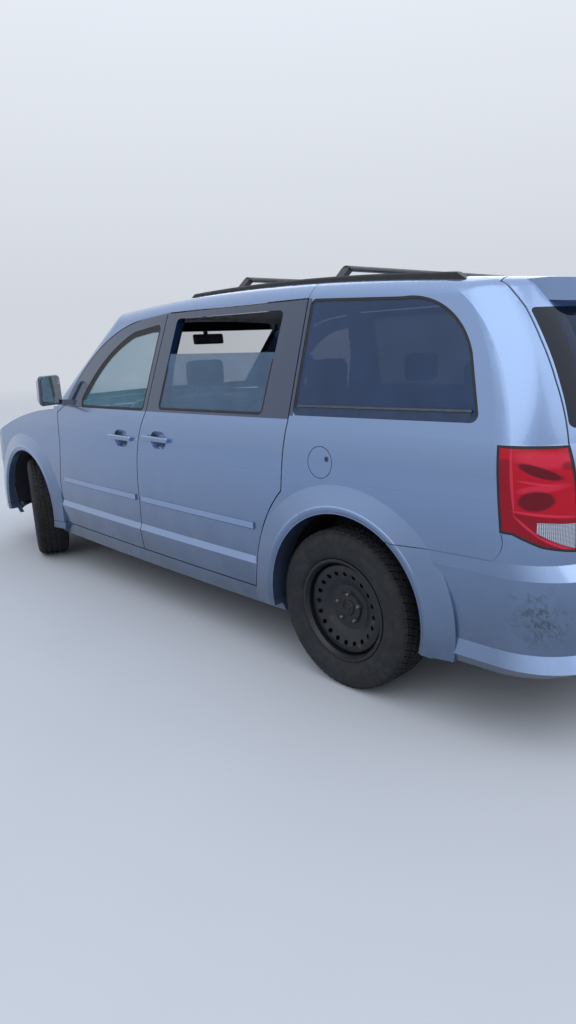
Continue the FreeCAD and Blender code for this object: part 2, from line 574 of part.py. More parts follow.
def size(alias, add=0.0):
    """A length read from the sheet, with a fixed amount added."""
    return Size(D[alias] + add, "Dims.%s + %g" % (alias, add))


def plain(value):
    return Size(value, None)


def set_size(item, prop, amount):
    """Give a property its value, bound to the sheet where it has a formula."""
    amount = amount if isinstance(amount, Size) else plain(amount)
    setattr(item, prop, amount.value)
    if amount.formula:
        item.setExpression(prop, amount.formula)


def cube(name, long, wide, tall, corner, turn=None):
    item = doc.addObject("Part::Box", name)
    set_size(item, "Length", long)
    set_size(item, "Width", wide)
    set_size(item, "Height", tall)
    item.Placement = FreeCAD.Placement(Vector(*corner), turn or FreeCAD.Rotation())
    return item


def bar(name, radius, a, b):
    """A round bar between two points."""
    a, b = Vector(*a), Vector(*b)
    item = doc.addObject("Part::Cylinder", name)
    set_size(item, "Radius", radius)
    set_size(item, "Height", (b - a).Length)
    item.Placement = FreeCAD.Placement(a, FreeCAD.Rotation(Z_AXIS, b - a))
    return item


def joined(label, pieces):
    """One node out of pieces that overlap, or a compound where they stand apart."""
    item = doc.addObject("Part::MultiFuse", label)
    item.Label = label
    item.Shapes = pieces
    nodes.append(item)
    return item


def rounded_block(name, base, radius):
    """A block with every edge rounded."""
    doc.recompute()
    item = doc.addObject("Part::Fillet", name)
    item.Base = base
    item.Edges = [(i + 1, radius, radius) for i in range(len(base.Shape.Edges))]
    return item


def origin_plane(body, role):
    return next(f for f in body.Origin.OriginFeatures if f.Role == role)


def sketch_on(body, name, role):
    sketch = body.newObject("Sketcher::SketchObject", name)
    sketch.AttachmentSupport = [(origin_plane(body, role), "")]
    sketch.MapMode = "FlatFace"
    return sketch


def draw_polygon(sketch, corners):
    """A closed polygon of Size pairs, each corner held by its distance from the sketch's axes."""
    count = len(corners)
    for i, (u, v) in enumerate(corners):
        nu, nv = corners[(i + 1) % count]
        sketch.addGeometry(Part.LineSegment(Vector(u.value, v.value, 0), Vector(nu.value, nv.value, 0)))
    for i, (u, v) in enumerate(corners):
        sketch.addConstraint(Sketcher.Constraint("Coincident", i, 2, (i + 1) % count, 1))
        for kind, amount in (("DistanceX", u), ("DistanceY", v)):
            index = sketch.addConstraint(Sketcher.Constraint(kind, -1, 1, i, 1, amount.value))
            if amount.formula:
                name = "%s%d" % (kind, i)
                sketch.renameConstraint(index, name)
                sketch.setExpression("Constraints.%s" % name, amount.formula)


def revolved(body, name, corners):
    """A ring turned about the body's Y axis."""
    sketch = sketch_on(body, name + "_profile", "XY_Plane")
    draw_polygon(sketch, corners)
    turned = body.newObject("PartDesign::Revolution", name)
    turned.Profile = sketch
    turned.ReferenceAxis = (sketch, ["V_Axis"])
    turned.Angle = 360.0
    sketch.Visibility = False
    body.Tip = turned
    return turned


# Wheels: each is drawn with its inner side at y = 0 and its outer side at y = tyre_width.
HALF_TYRE = D["tyre_width"] / 2
TYRE_PROFILE = [("bead_radius", 0.5, 24.0), ("flange_radius", 1.0, 24.0), ("flange_radius", 8.0, 12.0),
                ("tyre_radius", -72.0, 1.0), ("tyre_radius", -32.0, 7.0), ("tyre_radius", -10.0, 22.0),
                ("tyre_radius", 0.0, 40.0)]
RIM_PROFILE = [("flange_radius", 0.0, 15.5), ("flange_radius", 0.0, 23.5), ("bead_radius", 0.0, 23.5),
               ("bead_radius", 0.0, 201.5), ("flange_radius", 0.0, 201.5), ("flange_radius", 0.0, 209.5),
               ("flange_radius", -12.0, 209.5), ("bead_radius", -8.0, 192.0), ("bead_radius", -8.0, 15.5)]
DISC_PROFILE = [
    ("hub_bore_radius", 0.0, 74.0), ("hub_bore_radius", 18.0, 74.0), ("hub_bore_radius", 18.0, 143.0),
    ("vent_circle_radius", -56.0, 143.0), ("vent_circle_radius", -26.0, 160.0),
    ("vent_circle_radius", 12.0, 176.0), ("vent_circle_radius", 34.0, 172.0),
    ("bead_radius", -4.0, 152.0), ("bead_radius", -4.0, 160.0), ("vent_circle_radius", 36.0, 181.0),
    ("vent_circle_radius", 12.0, 184.0), ("vent_circle_radius", -28.0, 168.0),
    ("vent_circle_radius", -58.0, 151.0), ("hub_bore_radius", 34.0, 151.0),
    ("hub_bore_radius", 30.0, 160.0), ("hub_bore_radius", 0.0, 160.0)]
BRAKE_PROFILE = [("hub_bore_radius", 16.0, 112.0), ("hub_bore_radius", 16.0, 86.0),
                 ("hub_bore_radius", 106.0, 86.0), ("hub_bore_radius", 106.0, 112.0)]


def ring_corners(rows):
    return [(size(alias, add), plain(y)) for alias, add, y in rows]


def tyre(label, place):
    body = doc.addObject("PartDesign::Body", label)
    body.Label = label
    half = ring_corners(TYRE_PROFILE)
    other = [(r, plain(D["tyre_width"] - y.value)) for r, y in half[::-1]]
    revolved(body, label + "_carcass", half + other)
    body.Placement = place
    nodes.append(body)


def rim(label, place):
    """A pressed steel wheel with a ring of round holes, its brake disc behind it."""
    body = doc.addObject("PartDesign::Body", label)
    body.Label = label
    revolved(body, label + "_barrel", ring_corners(RIM_PROFILE))
    revolved(body, label + "_disc", ring_corners(DISC_PROFILE))
    revolved(body, label + "_brake", ring_corners(BRAKE_PROFILE))
    holes = sketch_on(body, label + "_hole", "XZ_Plane")
    holes.addGeometry(Part.Circle(Vector(D["vent_circle_radius"], 0, 0), Z_AXIS, D["vent_radius"]))
    holes.addConstraint(Sketcher.Constraint("PointOnObject", 0, 3, -1))
    holes.addConstraint(Sketcher.Constraint("DistanceX", -1, 1, 0, 3, D["vent_circle_radius"]))
    holes.renameConstraint(1, "circle")
    holes.setExpression("Constraints.circle", "Dims.vent_circle_radius")
    holes.addConstraint(Sketcher.Constraint("Radius", 0, D["vent_radius"]))
    holes.renameConstraint(2, "hole")
    holes.setExpression("Constraints.hole", "Dims.vent_radius")
    pocket = body.newObject("PartDesign::Pocket", label + "_vent")
    pocket.Profile = holes
    pocket.Length = 190.0
    pocket.Reversed = False
    pocket.Midplane = False
    holes.Visibility = False
    pattern = body.newObject("PartDesign::PolarPattern", label + "_vents")
    pattern.Originals = [pocket]
    pattern.Axis = (next(f for f in body.Origin.OriginFeatures if f.Role == "Y_Axis"), [""])
    pattern.Angle = 360.0
    pattern.Occurrences = int(D["vent_count"])
    body.Tip = pattern
    body.Placement = place
    nodes.append(body)
    return body


def facing(x, y, z, side, steer=0.0):
    """A wheel's placement: its centre, its side (1 left, -1 right) and a turn about the steering axis."""
    turn = FreeCAD.Rotation(Z_AXIS, 0 if side > 0 else 180)
    inner = y - side * HALF_TYRE
    place = FreeCAD.Placement(Vector(x, inner, z), turn)
    if steer:
        pivot = Vector(x, side * D["ball_joint_y"], D["ball_joint_z"])
        spin = FreeCAD.Rotation(Vector(0, -side * KINGPIN_LEAN, 1), steer)
        place = FreeCAD.Placement(pivot - spin.multVec(pivot), spin).multiply(place)
    return place


KINGPIN_LEAN = (D["ball_joint_y"] - D["strut_top_y"]) / (D["strut_top_z"] - D["ball_joint_z"])


def steered_lift():
    """How far a steered wheel's lowest point sinks, so that the front axle can be set that much higher."""
    place = facing(D["axle_front_x"], D["track_half"], D["tyre_radius"], 1, -D["steer_rest"])
    axle = place.Rotation.multVec(Y_AXIS)
    middle = place.multVec(Vector(0, HALF_TYRE, 0))
    tread = HALF_TYRE - TYRE_PROFILE[-1][2]
    return D["tyre_radius"] * math.sqrt(1 - axle.z ** 2) + tread * abs(axle.z) - middle.z


FRONT_Z = D["tyre_radius"] + steered_lift()
WHEELS = [("front_left", D["axle_front_x"], 1, FRONT_Z, -D["steer_rest"]),
          ("front_right", D["axle_front_x"], -1, FRONT_Z, -D["steer_rest"]),
          ("rear_left", D["axle_rear_x"], 1, D["tyre_radius"], 0.0),
          ("rear_right", D["axle_rear_x"], -1, D["tyre_radius"], 0.0)]
for corner, x, side, z, steer in WHEELS:
    place = facing(x, side * D["track_half"], z, side, steer)
    tyre("tyre_" + corner, place)
    rim("rim_" + corner, place)


# Steering knuckles with their struts, drawn straight ahead in the wheel's own frame, then turned with the wheel
def knuckle(label, side):
    x, z = D["axle_front_x"], FRONT_Z
    at = lambda dx, y, h: (x + dx, side * y, h)
    y0 = D["track_half"] - HALF_TYRE
    lean = KINGPIN_LEAN
    on_axis = lambda h: D["ball_joint_y"] - lean * (h - D["ball_joint_z"])
    spindle = bar(label + "_spindle", size("hub_bore_radius", -0.05), at(0, y0 + 20, z), at(0, y0 + 156, z))
    low, high = side * (y0 + 22), side * (y0 + 56)
    upright = cube(label + "_upright", 84, 34, 226, (x - 42, min(low, high), z - 128))
    boss = bar(label + "_boss", 17, at(0, on_axis(214), 214), at(0, on_axis(262), 262))
    low, high = side * 640, side * (y0 + 40)
    clamp = cube(label + "_clamp", 64, abs(high - low), 60, (x - 32, min(low, high), z + 56))
    steer_arm = bar(label + "_steer_arm", 13, at(-20, y0 + 36, z - 40), at(-132, y0 - 12, z - 30))
    tube = bar(label + "_strut", 25, at(0, 655, z + 50), at(0, on_axis(878), 878))
    seat = bar(label + "_spring", 52, at(0, on_axis(878) - 4.5, 752), at(0, on_axis(880), 876))
    pieces = [spindle, upright, boss, clamp, steer_arm, tube, seat]
    whole = joined(label, pieces)
    pivot = Vector(x, side * D["ball_joint_y"], D["ball_joint_z"])
    spin = FreeCAD.Rotation(Vector(0, -side * lean, 1), -D["steer_rest"])
    whole.Placement = FreeCAD.Placement(pivot - spin.multVec(pivot), spin)


knuckle("knuckle_left", 1)
knuckle("knuckle_right", -1)

# Underbody: subframe with lower arms and steering rack, rear axle, tank and exhaust
FX, RX = D["axle_front_x"], D["axle_rear_x"]
subframe = []
for side in (1, -1):
    y_in, y_ball = side * 400, side * D["ball_joint_y"]
    subframe.append(bar("arm_front_%d" % side, 17, (FX + 120, y_in, 215), (FX, y_ball, 188)))
    subframe.append(bar("arm_rear_%d" % side, 17, (FX - 190, y_in, 215), (FX, y_ball, 188)))
    subframe.append(cube("rail_%d" % side, 620, 60, 60, (FX - 290, side * 380 - 30, 190)))
    subframe.append(bar("tie_rod_%d" % side, 9, (FX - 140, side * 250, 322), (FX - 140, side * 610, 326)))
subframe.append(cube("cross_front", 70, 760, 50, (FX + 250, -380, 195)))
subframe.append(cube("cross_rear", 170, 760, 50, (FX - 260, -380, 195)))
subframe.append(bar("rack", 30, (FX - 140, -300, 322), (FX - 140, 300, 322)))
subframe.append(cube("rack_foot", 60, 200, 110, (FX - 170, -100, 215)))
joined("front_subframe", subframe)

rear = [cube("twist_beam", 90, 1080, 80, (RX + 135, -540, 300))]
for side in (1, -1):
    rear.append(bar("trailing_%d" % side, 28, (RX + 400, side * 560, 250), (RX - 10, side * 640, 362)))
    rear.append(bar("stub_%d" % side, size("hub_bore_radius", -0.05), (RX, side * 640, 362),
                    (RX, side * (D["track_half"] - HALF_TYRE + 156), 362)))
    rear.append(cube("spring_pan_%d" % side, 130, 130, 20, (RX + 30, side * 570 - 65, 318)))
    rear.append(bar("coil_%d" % side, 48, (RX + 95, side * 565, 336), (RX + 95, side * 565, 462)))
    rear.append(bar("damper_%d" % side, 20, (RX - 60, side * 575, 340), (RX - 130, side * 560, 455)))
    rear.append(cube("damper_foot_%d" % side, 110, 50, 40, (RX - 90, side * 600 - 25, 330)))
joined("rear_axle", rear)

tank = cube("tank_block", size("tank_long"), size("tank_wide"), size("tank_tall"), (-1000, 60, 176))
tank_round = rounded_block("fuel_tank", tank, 24)
tank_round.Label = "fuel_tank"
nodes.append(tank_round)

PIPE_RADIUS = 27
pipe_route = [(1345, -73, 220), (900, -180, 232), (-1050, -180, 232), (-1480, -380, 262), (-1900, -445, 350)]
tail_route = [(-2260, -500, 335), (-2345, -545, 236), (-2500, -565, 230)]
exhaust = [rounded_box(-2290, -1870, -560, -330, 290, 440, 40), rounded_box(400, 730, -245, -115, 188, 278, 30)]
for route in (pipe_route, tail_route):
    exhaust += [rod(a, b, PIPE_RADIUS) for a, b in zip(route, route[1:])]
    exhaust += [Part.makeSphere(PIPE_RADIUS, Vector(*spot)) for spot in route[1:-1]]
node("exhaust", fuse(*exhaust))

engine = cube("engine", size("engine_long"), size("engine_wide"), size("engine_tall"), (FX - 70, -410, 300))
engine_round = rounded_block("engine_block", engine, 30)
engine_round.Label = "engine_block"
nodes.append(engine_round)

# Floor, bulkhead, inner wings and wheel liners
FLOOR_TOP, CARGO_FLOOR = 330, 502
floor = fuse(box(-1180, 1218, -862, 862, 285, FLOOR_TOP), box(-1212, -1180, -862, 862, 285, CARGO_FLOOR),
             box(-2385, -1180, -862, 862, 470, CARGO_FLOOR), box(1190, 1218, -855, 855, 300, 1096))
bay = fuse(box(1218, 2240, 470, 492, 300, 880), box(1218, 2240, -492, -470, 300, 880),
           box(2215, 2240, -700, 700, 300, 760))
for side in (1, -1):
    tower = box(FX - 95, FX + 95, 480, 760, 820, 898).cut(box(FX - 85, FX + 85, 492, 750, 810, 887))
    bay = fuse(bay, tower if side > 0 else mirrored(tower))
bay = bay.cut(cylinder_y(FX - 140, 324, 16, 400, 560)).cut(cylinder_y(FX - 140, 324, 16, -560, -400))
rear_wells = [cylinder_y(D["arch_rear_x"], D["arch_z"], 421, y, y + 400) for y in (632, -1032)]
front_wells = [cylinder_y(D["arch_front_x"], D["arch_z"], 421, y, y + 500) for y in (498, -998)]
well_cut = Part.makeCompound(rear_wells + front_wells)
rear_panel = layer_lining.common(box(-2700, -2100, -786, 786, 300, 738))
inner_limit = lower_body(D["skin_lower"] + 3, D["skin_lower"] + 3)
arm_room = [rod((RX + 400, 560, 250), (RX - 10, 640, 362), 36), box(5, 140, 809, 900, 200, 400)]
arm_room += [mirrored(room) for room in arm_room]
floor = floor.common(inner_limit).cut(Part.makeCompound([well_cut] + arm_room))
node("floor_pan", fuse(floor, rear_panel))
front_limit = lower_body(36.0, 36.0)
node("engine_bay", bay.common(front_limit))
front_liner = cylinder_y(D["arch_front_x"], D["arch_z"], 419, 496, 900)
front_liner = front_liner.cut(cylinder_y(D["arch_front_x"], D["arch_z"], 414, 490, 905))
strut_hole = rod((FX, 690, 700), (FX, 674, 880), 74)
front_liner = front_liner.common(box(1000, 2300, 490, 905, 345, 900)).common(front_limit).cut(strut_hole)
rear_liner = cylinder_y(D["arch_rear_x"], D["arch_z"], 419, 634, 862)
rear_liner = rear_liner.cut(cylinder_y(D["arch_rear_x"], D["arch_z"], 414, 640, 870))
rear_liner = rear_liner.common(box(-2000, -1000, 630, 870, 345, 900)).common(inner_limit)
rear_liner = rear_liner.cut(cylinder_y(RX, 362, 60, 600, 700)).cut(box(RX, RX + 420, 600, 700, 200, 400))
node("wheel_liners", Part.makeCompound([front_liner, mirrored(front_liner), rear_liner, mirrored(rear_liner)]))


# Cabin: seats, dashboard and steering wheel
CUSHION = [(0, 150), (500, 165), (520, 230), (490, 290), (60, 265), (0, 240)]
BACKREST = [(0, 190), (110, 200), (-60, 850), (-105, 885), (-160, 860), (-60, 210)]


def seat(x, y, floor_z, width, tall=1.0, heads=(0,)):
    """Cushion, reclined backrest and head restraints of one seat."""
    half = width / 2
    parts = [box(x + 60, x + 440, y - half + 60, y + half - 60, floor_z, floor_z + 165 * tall)]
    for side_points in (CUSHION, BACKREST):
        face = Part.Face(wire_of(side_points, lambda u, v: Vector(x + u, y - half, floor_z + v * tall)))
        block = face.extrude(Vector(0, width, 0))
        parts.append(block.makeFillet(22, block.Edges))
    for across in heads:
        mid, low = y + across, floor_z + 885 * tall
        parts.append(rounded_box(x - 190, x - 100, mid - 130, mid + 130, low + 20, low + 190 * tall, 34))
        parts += [rod((x - 125, mid + dy, low - 45), (x - 145, mid + dy, low + 45), 8) for dy in (-60, 60)]
    return fuse(*parts)


front_seats = [seat(270, y, FLOOR_TOP + 20, 500) for y in (-400, 400)]
middle_seats = [seat(-760, y, FLOOR_TOP + 20, 500) for y in (-400, 400)]
rear_bench = seat(-1640, 0, CARGO_FLOOR, 1140, 0.84, (-350, 350))
node("seats", Part.makeCompound(front_seats + middle_seats + [rear_bench]))

dash_points = [(1186, 700), (1186, 1118), (1060, 1122), (985, 1085), (948, 1010), (960, 900), (1040, 760)]
dash = Part.Face(wire_of(dash_points, lambda u, v: Vector(u, -780, v))).extrude(Vector(0, 1560, 0))
cross_edges = [e for e in dash.Edges if abs(e.BoundBox.YLength - 1560) < 1 and e.BoundBox.XMax < 1180]
dash = dash.makeFillet(24, cross_edges).common(inner_limit)
console = box(560, 1040, -110, 110, FLOOR_TOP + 6, 640)
console = console.makeFillet(25, [e for e in console.Edges if e.BoundBox.ZMin > 600])
node("dashboard", fuse(dash, console, box(960, 1060, -110, 110, 600, 800)))

hub = Vector(760, 400, 985)
lean = FreeCAD.Rotation(Y_AXIS, -63)
wheel_ring = doc.addObject("Part::Torus", "steering_ring")
set_size(wheel_ring, "Radius1", 178)
set_size(wheel_ring, "Radius2", 14)
wheel_ring.Placement = FreeCAD.Placement(hub, lean)
wheel_pieces = [wheel_ring]
for i, angle in enumerate((90, 270, 0)):
    turn = math.radians(angle)
    tip = hub + lean.multVec(Vector(178 * math.sin(turn), 178 * math.cos(turn), 0))
    wheel_pieces.append(bar("spoke_%d" % i, 12, tuple(hub), tuple(tip)))
boss_ends = [hub + lean.multVec(Vector(0, 0, along)) for along in (-22, 30)]
wheel_pieces.append(bar("wheel_boss", 62, tuple(boss_ends[0]), tuple(boss_ends[1])))
column_end = hub - lean.multVec(Vector(0, 0, 200))
wheel_pieces.append(bar("steering_column", 30, tuple(hub), tuple(column_end)))
joined("steering_wheel", wheel_pieces)


# Roof rack: two rails on feet and two cross bars
def roof_z(x, y):
    r, crown = D["roof_radius"], D["roof_crown"]
    return D["roof_top_z"] - (x - D["roof_peak_x"]) ** 2 / (2 * r) - y * y / (2 * crown)


RAIL_Y = 690
RAIL_FRONT, RAIL_REAR = -175, -1925
CROSSBAR_X = (-1270, -610)
rail_run = (RAIL_REAR + 60, (RAIL_FRONT + RAIL_REAR) / 2, RAIL_FRONT - 60)
rail_top = [(x, roof_z(x, RAIL_Y) + 18) for x in rail_run]
rail_low = [(x, roof_z(x, RAIL_Y) - 16) for x in (RAIL_FRONT, RAIL_REAR)]
rail_points = [rail_top[0], rail_top[1] + ("arc",), rail_top[2], rail_low[0], rail_low[1]]
rail = side_prism(rail_points, RAIL_Y - 19, RAIL_Y + 19)
rail = rail.makeFillet(8, [e for e in rail.Edges if e.BoundBox.ZMin > rail_low[1][1] + 5])
crossbars = []
for x in CROSSBAR_X:
    z = roof_z(x, RAIL_Y)
    bar_face = Part.Face(wire_of([(x - 30, z + 46), (x, z + 64, "arc"), (x + 30, z + 46), (x, z + 40, "arc")],
                                 lambda u, v: Vector(u, -650, v)))
    crossbars.append(bar_face.extrude(Vector(0, 1300, 0)))
    foot_outline = [(706, z + 6), (674, z + 6), (628, z + 42), (628, z + 56), (652, z + 56)]
    foot = rear_prism(foot_outline, x - 22, x + 22)
    crossbars += [foot, mirrored(foot)]
node("roof_rack", fuse(rail, mirrored(rail), *crossbars).cut(glass_0))

doc.recompute()

problems = [o.Name for o in doc.Objects if "Invalid" in o.State or "Error" in o.State]
os.makedirs("parts", exist_ok=True)
for item in nodes:
    shape = item.Shape
    if shape.isNull() or not shape.isValid():
        problems.append(item.Label)
    shape.exportStep("parts/%s.step" % item.Label)
if problems:
    raise RuntimeError("unsound: " + ", ".join(problems))
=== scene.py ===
"""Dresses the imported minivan: paint, glass, rubber, soft seats, tyre treads, window seals, camera and light.

Everything is in metres, in the CAD's frame: +X forward, +Y to the van's left, +Z up, floor at z = 0.
"""
import json
import math

import bmesh
import bpy
from mathutils import Matrix, Vector


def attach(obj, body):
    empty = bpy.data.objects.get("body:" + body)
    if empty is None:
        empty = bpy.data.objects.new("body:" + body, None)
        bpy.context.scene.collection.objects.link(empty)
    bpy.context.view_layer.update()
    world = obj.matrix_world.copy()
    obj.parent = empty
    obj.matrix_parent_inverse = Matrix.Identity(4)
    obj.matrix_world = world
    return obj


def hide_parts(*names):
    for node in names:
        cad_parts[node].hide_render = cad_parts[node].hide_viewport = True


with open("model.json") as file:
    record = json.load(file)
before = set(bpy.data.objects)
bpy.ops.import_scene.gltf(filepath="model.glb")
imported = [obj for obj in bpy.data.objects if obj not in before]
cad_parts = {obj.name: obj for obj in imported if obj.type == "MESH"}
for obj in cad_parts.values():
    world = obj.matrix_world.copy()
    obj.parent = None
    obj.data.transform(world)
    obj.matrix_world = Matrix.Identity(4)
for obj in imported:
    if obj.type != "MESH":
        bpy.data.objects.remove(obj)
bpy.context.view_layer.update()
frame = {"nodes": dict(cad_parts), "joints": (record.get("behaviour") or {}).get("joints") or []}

NODES = frame["nodes"]
SIDES = {"left": 1, "right": -1}

# Colours, as linear red, green and blue
PAINT = (0.245, 0.352, 0.570)
PAINT_SHADE = (0.190, 0.280, 0.465)
# painted highlight: a lighter paint for faces that catch the light from above
PAINT_HIGHLIGHT = (0.300, 0.420, 0.660)
# partly road dirt, partly painted shade on the low panels and on faces that don't face up
ROAD_DUST_AND_SHADE = (0.046, 0.074, 0.122)
SCUFF = (0.040, 0.050, 0.062)
BLACK = (0.010, 0.011, 0.013)
# blue-tinted black: the tint is a painted reflection of blue sky on gloss black
SLATE = (0.008, 0.024, 0.064)
RUBBER = (0.013, 0.014, 0.016)
CLOTH = (0.060, 0.062, 0.068)
HEADLINER = (0.42, 0.42, 0.41)
CABIN_PLASTIC = (0.055, 0.056, 0.060)
CARPET_PILE = (0.035, 0.035, 0.038)
TYRE_DUST = (0.085, 0.088, 0.095)
FRIT = (0.002, 0.006, 0.016)
LENS_RIB = (0.28, 0.0, 0.012)
PRISM_SHADE = (0.12, 0.14, 0.20)
BOWL_BRIGHT, BOWL_SHADE = (0.62, 0.64, 0.67), (0.38, 0.40, 0.43)
HOUSING_LIGHT, HOUSING_DARK = (0.16, 0.17, 0.19), (0.11, 0.12, 0.14)
LENS_RED = (0.42, 0.0, 0.014)
LENS_SHADED = (0.20, 0.0, 0.010)
LENS_DARK = (0.070, 0.0, 0.006)
LENS_PALE = (0.62, 0.030, 0.070)
LENS_CLEAR = (0.62, 0.64, 0.70)
UNDERSIDE = (0.045, 0.043, 0.042)
RUST = (0.16, 0.065, 0.025)
FLOOR = (0.47, 0.495, 0.54)
BACKDROP = (0.64, 0.675, 0.735)
OVERHEAD = 1.58  # how much brighter the sky dome is above than at the horizon

# Places on the body, in metres
FOLD_X, FOLD_Z = (-1.620, 0.600), (1.000, 0.765)  # middle and half length of the rear pillar's fold
FOLD_TURN = math.radians(9)
# the fuel door's cut-out, painted dark as shade
FUEL_NOTCH = (-1.404, 0.941, 1.030)
MOULDING_Z, MOULDING_X = (0.651, 0.684), ((-0.934, 0.035), (0.100, 1.001))
DOOR_SIDE_Y = 0.90  # the outer side of the doors lies beyond this
PILLAR_SIDE_Y = 0.70  # and the outer side of the pillars, further up, beyond this
SCUFF_AT, SCUFF_RADIUS = Vector((-2.333, 0.854, 0.545)), 0.13
RECESS_X, RECESS_HALF, RECESS_Z = -2.504, 0.25, (0.80, 0.93)
PLATE_SCREW_Y, PLATE_SCREW_Z = 0.089, 0.905


class Shade:
    """A procedural material under construction: one Principled shader and the nodes that feed it."""

    def __init__(self, name, **sockets):
        self.material = bpy.data.materials.new(name)
        self.material.use_nodes = True
        self.tree = self.material.node_tree
        self.tree.nodes.clear()
        self.shader = self.node("ShaderNodeBsdfPrincipled")
        out = self.node("ShaderNodeOutputMaterial")
        self.link(self.shader.outputs["BSDF"], out.inputs["Surface"])
        self.place = self.node("ShaderNodeTexCoord").outputs["Object"]
        for socket, value in sockets.items():
            self.set(socket.replace("_", " "), value)

    def node(self, kind):
        return self.tree.nodes.new(kind)

    def link(self, source, target):
        self.tree.links.new(source, target)

    def set(self, socket, value):
        self.feed(self.shader.inputs[socket], value)

    def feed(self, target, value):
        """Gives a socket its value: a number, a colour, a vector or another node's output."""
        if isinstance(value, bpy.types.NodeSocket):
            self.link(value, target)
        elif isinstance(value, tuple):
            target.default_value = (*value, 1.0) if len(target.default_value) == 4 else value
        else:
            target.default_value = value

    def noise(self, scale, detail=3.0, roughness=0.55):
        texture = self.node("ShaderNodeTexNoise")
        texture.inputs["Scale"].default_value = scale
        texture.inputs["Detail"].default_value = detail
        texture.inputs["Roughness"].default_value = roughness
        self.link(self.place, texture.inputs["Vector"])
        return texture.outputs["Fac"]

    def scratches(self, scale, turn, length):
        """Noise drawn out along a direction on the side of the van, turn degrees from X towards Z."""
        mapping = self.node("ShaderNodeMapping")
        mapping.vector_type = "TEXTURE"
        mapping.inputs["Rotation"].default_value = (0.0, -math.radians(turn), 0.0)
        mapping.inputs["Scale"].default_value = (length, 1.0, 1.0)
        self.link(self.place, mapping.inputs["Vector"])
        texture = self.node("ShaderNodeTexNoise")
        texture.inputs["Scale"].default_value = scale
        texture.inputs["Detail"].default_value = 5.0
        texture.inputs["Distortion"].default_value = 0.8
        self.link(mapping.outputs["Vector"], texture.inputs["Vector"])
        return texture.outputs["Fac"]

    def cells(self, scale):
        texture = self.node("ShaderNodeTexVoronoi")
        texture.inputs["Scale"].default_value = scale
        self.link(self.place, texture.inputs["Vector"])
        return texture.outputs["Distance"]

    def waves(self, scale, axis):
        texture = self.node("ShaderNodeTexWave")
        texture.bands_direction = axis
        texture.inputs["Scale"].default_value = scale
        self.link(self.place, texture.inputs["Vector"])
        return texture.outputs["Fac"]

    def axes(self):
        """X, Y and Z of the point being shaded, in the van's frame."""
        split = self.node("ShaderNodeSeparateXYZ")
        self.link(self.place, split.inputs["Vector"])
        return split.outputs

    def maths(self, operation, a, b=0.0):
        item = self.node("ShaderNodeMath")
        item.operation = operation
        self.feed(item.inputs[0], a)
        self.feed(item.inputs[1], b)
        return item.outputs["Value"]

    def spread(self, value, low, high, to_low=0.0, to_high=1.0):
        """value moved from the range low to high onto another, and held there."""
        item = self.node("ShaderNodeMapRange")
        self.feed(item.inputs["Value"], value)
        for name, number in (("From Min", low), ("From Max", high), ("To Min", to_low), ("To Max", to_high)):
            item.inputs[name].default_value = number
        return item.outputs["Result"]

    def mix(self, factor, a, b):
        item = self.node("ShaderNodeMix")
        item.data_type = "RGBA"
        self.feed(item.inputs[0], factor)
        self.feed(item.inputs[6], a)
        self.feed(item.inputs[7], b)
        return item.outputs[2]

    def bump(self, height, strength, distance):
        """Adds relief on top of any that the shader has, and returns the normal."""
        item = self.node("ShaderNodeBump")
        item.inputs["Strength"].default_value = strength
        item.inputs["Distance"].default_value = distance
        self.link(height, item.inputs["Height"])
        for link in self.shader.inputs["Normal"].links:
            self.link(link.from_socket, item.inputs["Normal"])
        self.set("Normal", item.outputs["Normal"])
        return item.outputs["Normal"]

    def product(self, masks):
        """Masks, or a mask and a strength, multiplied."""
        total = masks[0]
        for mask in masks[1:]:
            total = self.maths("MULTIPLY", total, mask)
        return total

    def leaf(self, middle, reach, half, edge=0.15):
        """1 inside an ellipse on the side of the van: middle and long half axis as (x, z), half width."""
        axes = self.axes()
        across = self.maths("SUBTRACT", axes["X"], middle[0])
        above = self.maths("SUBTRACT", axes["Z"], middle[1])
        length = math.hypot(*reach)
        squares = []
        for size, a, b in ((length, reach[0], reach[1]), (half, -reach[1], reach[0])):
            offset = self.maths("ADD", self.maths("MULTIPLY", across, a / length / size),
                                self.maths("MULTIPLY", above, b / length / size))
            squares.append(self.maths("MULTIPLY", offset, offset))
        return self.spread(self.maths("ADD", *squares), 1 - edge, 1 + edge, 1.0, 0.0)

    def stroke(self, start, end, half):
        """1 along a thin line on the side of the van, between two points (x, z)."""
        middle = ((start[0] + end[0]) / 2, (start[1] + end[1]) / 2)
        return self.leaf(middle, (middle[0] - start[0], middle[1] - start[1]), half, 0.4)

    def half_plane(self, start, end):
        """1 to the right of the way from start to end, both (x, z), with X drawn to the right and Z up."""
        axes = self.axes()
        length = math.dist(start, end)
        right = ((end[1] - start[1]) / length, (start[0] - end[0]) / length)
        offset = self.maths("ADD", self.maths("MULTIPLY", axes["X"], right[0]),
                            self.maths("MULTIPLY", axes["Z"], right[1]))
        level = start[0] * right[0] + start[1] * right[1]
        return self.spread(offset, level - 0.001, level + 0.001)

    def near(self, centre, radius, edge):
        """1 within radius of a point, falling to 0 over edge."""
        item = self.node("ShaderNodeVectorMath")
        item.operation = "DISTANCE"
        self.link(self.place, item.inputs[0])
        item.inputs[1].default_value = centre
        return self.spread(item.outputs["Value"], radius, radius + edge, 1.0, 0.0)


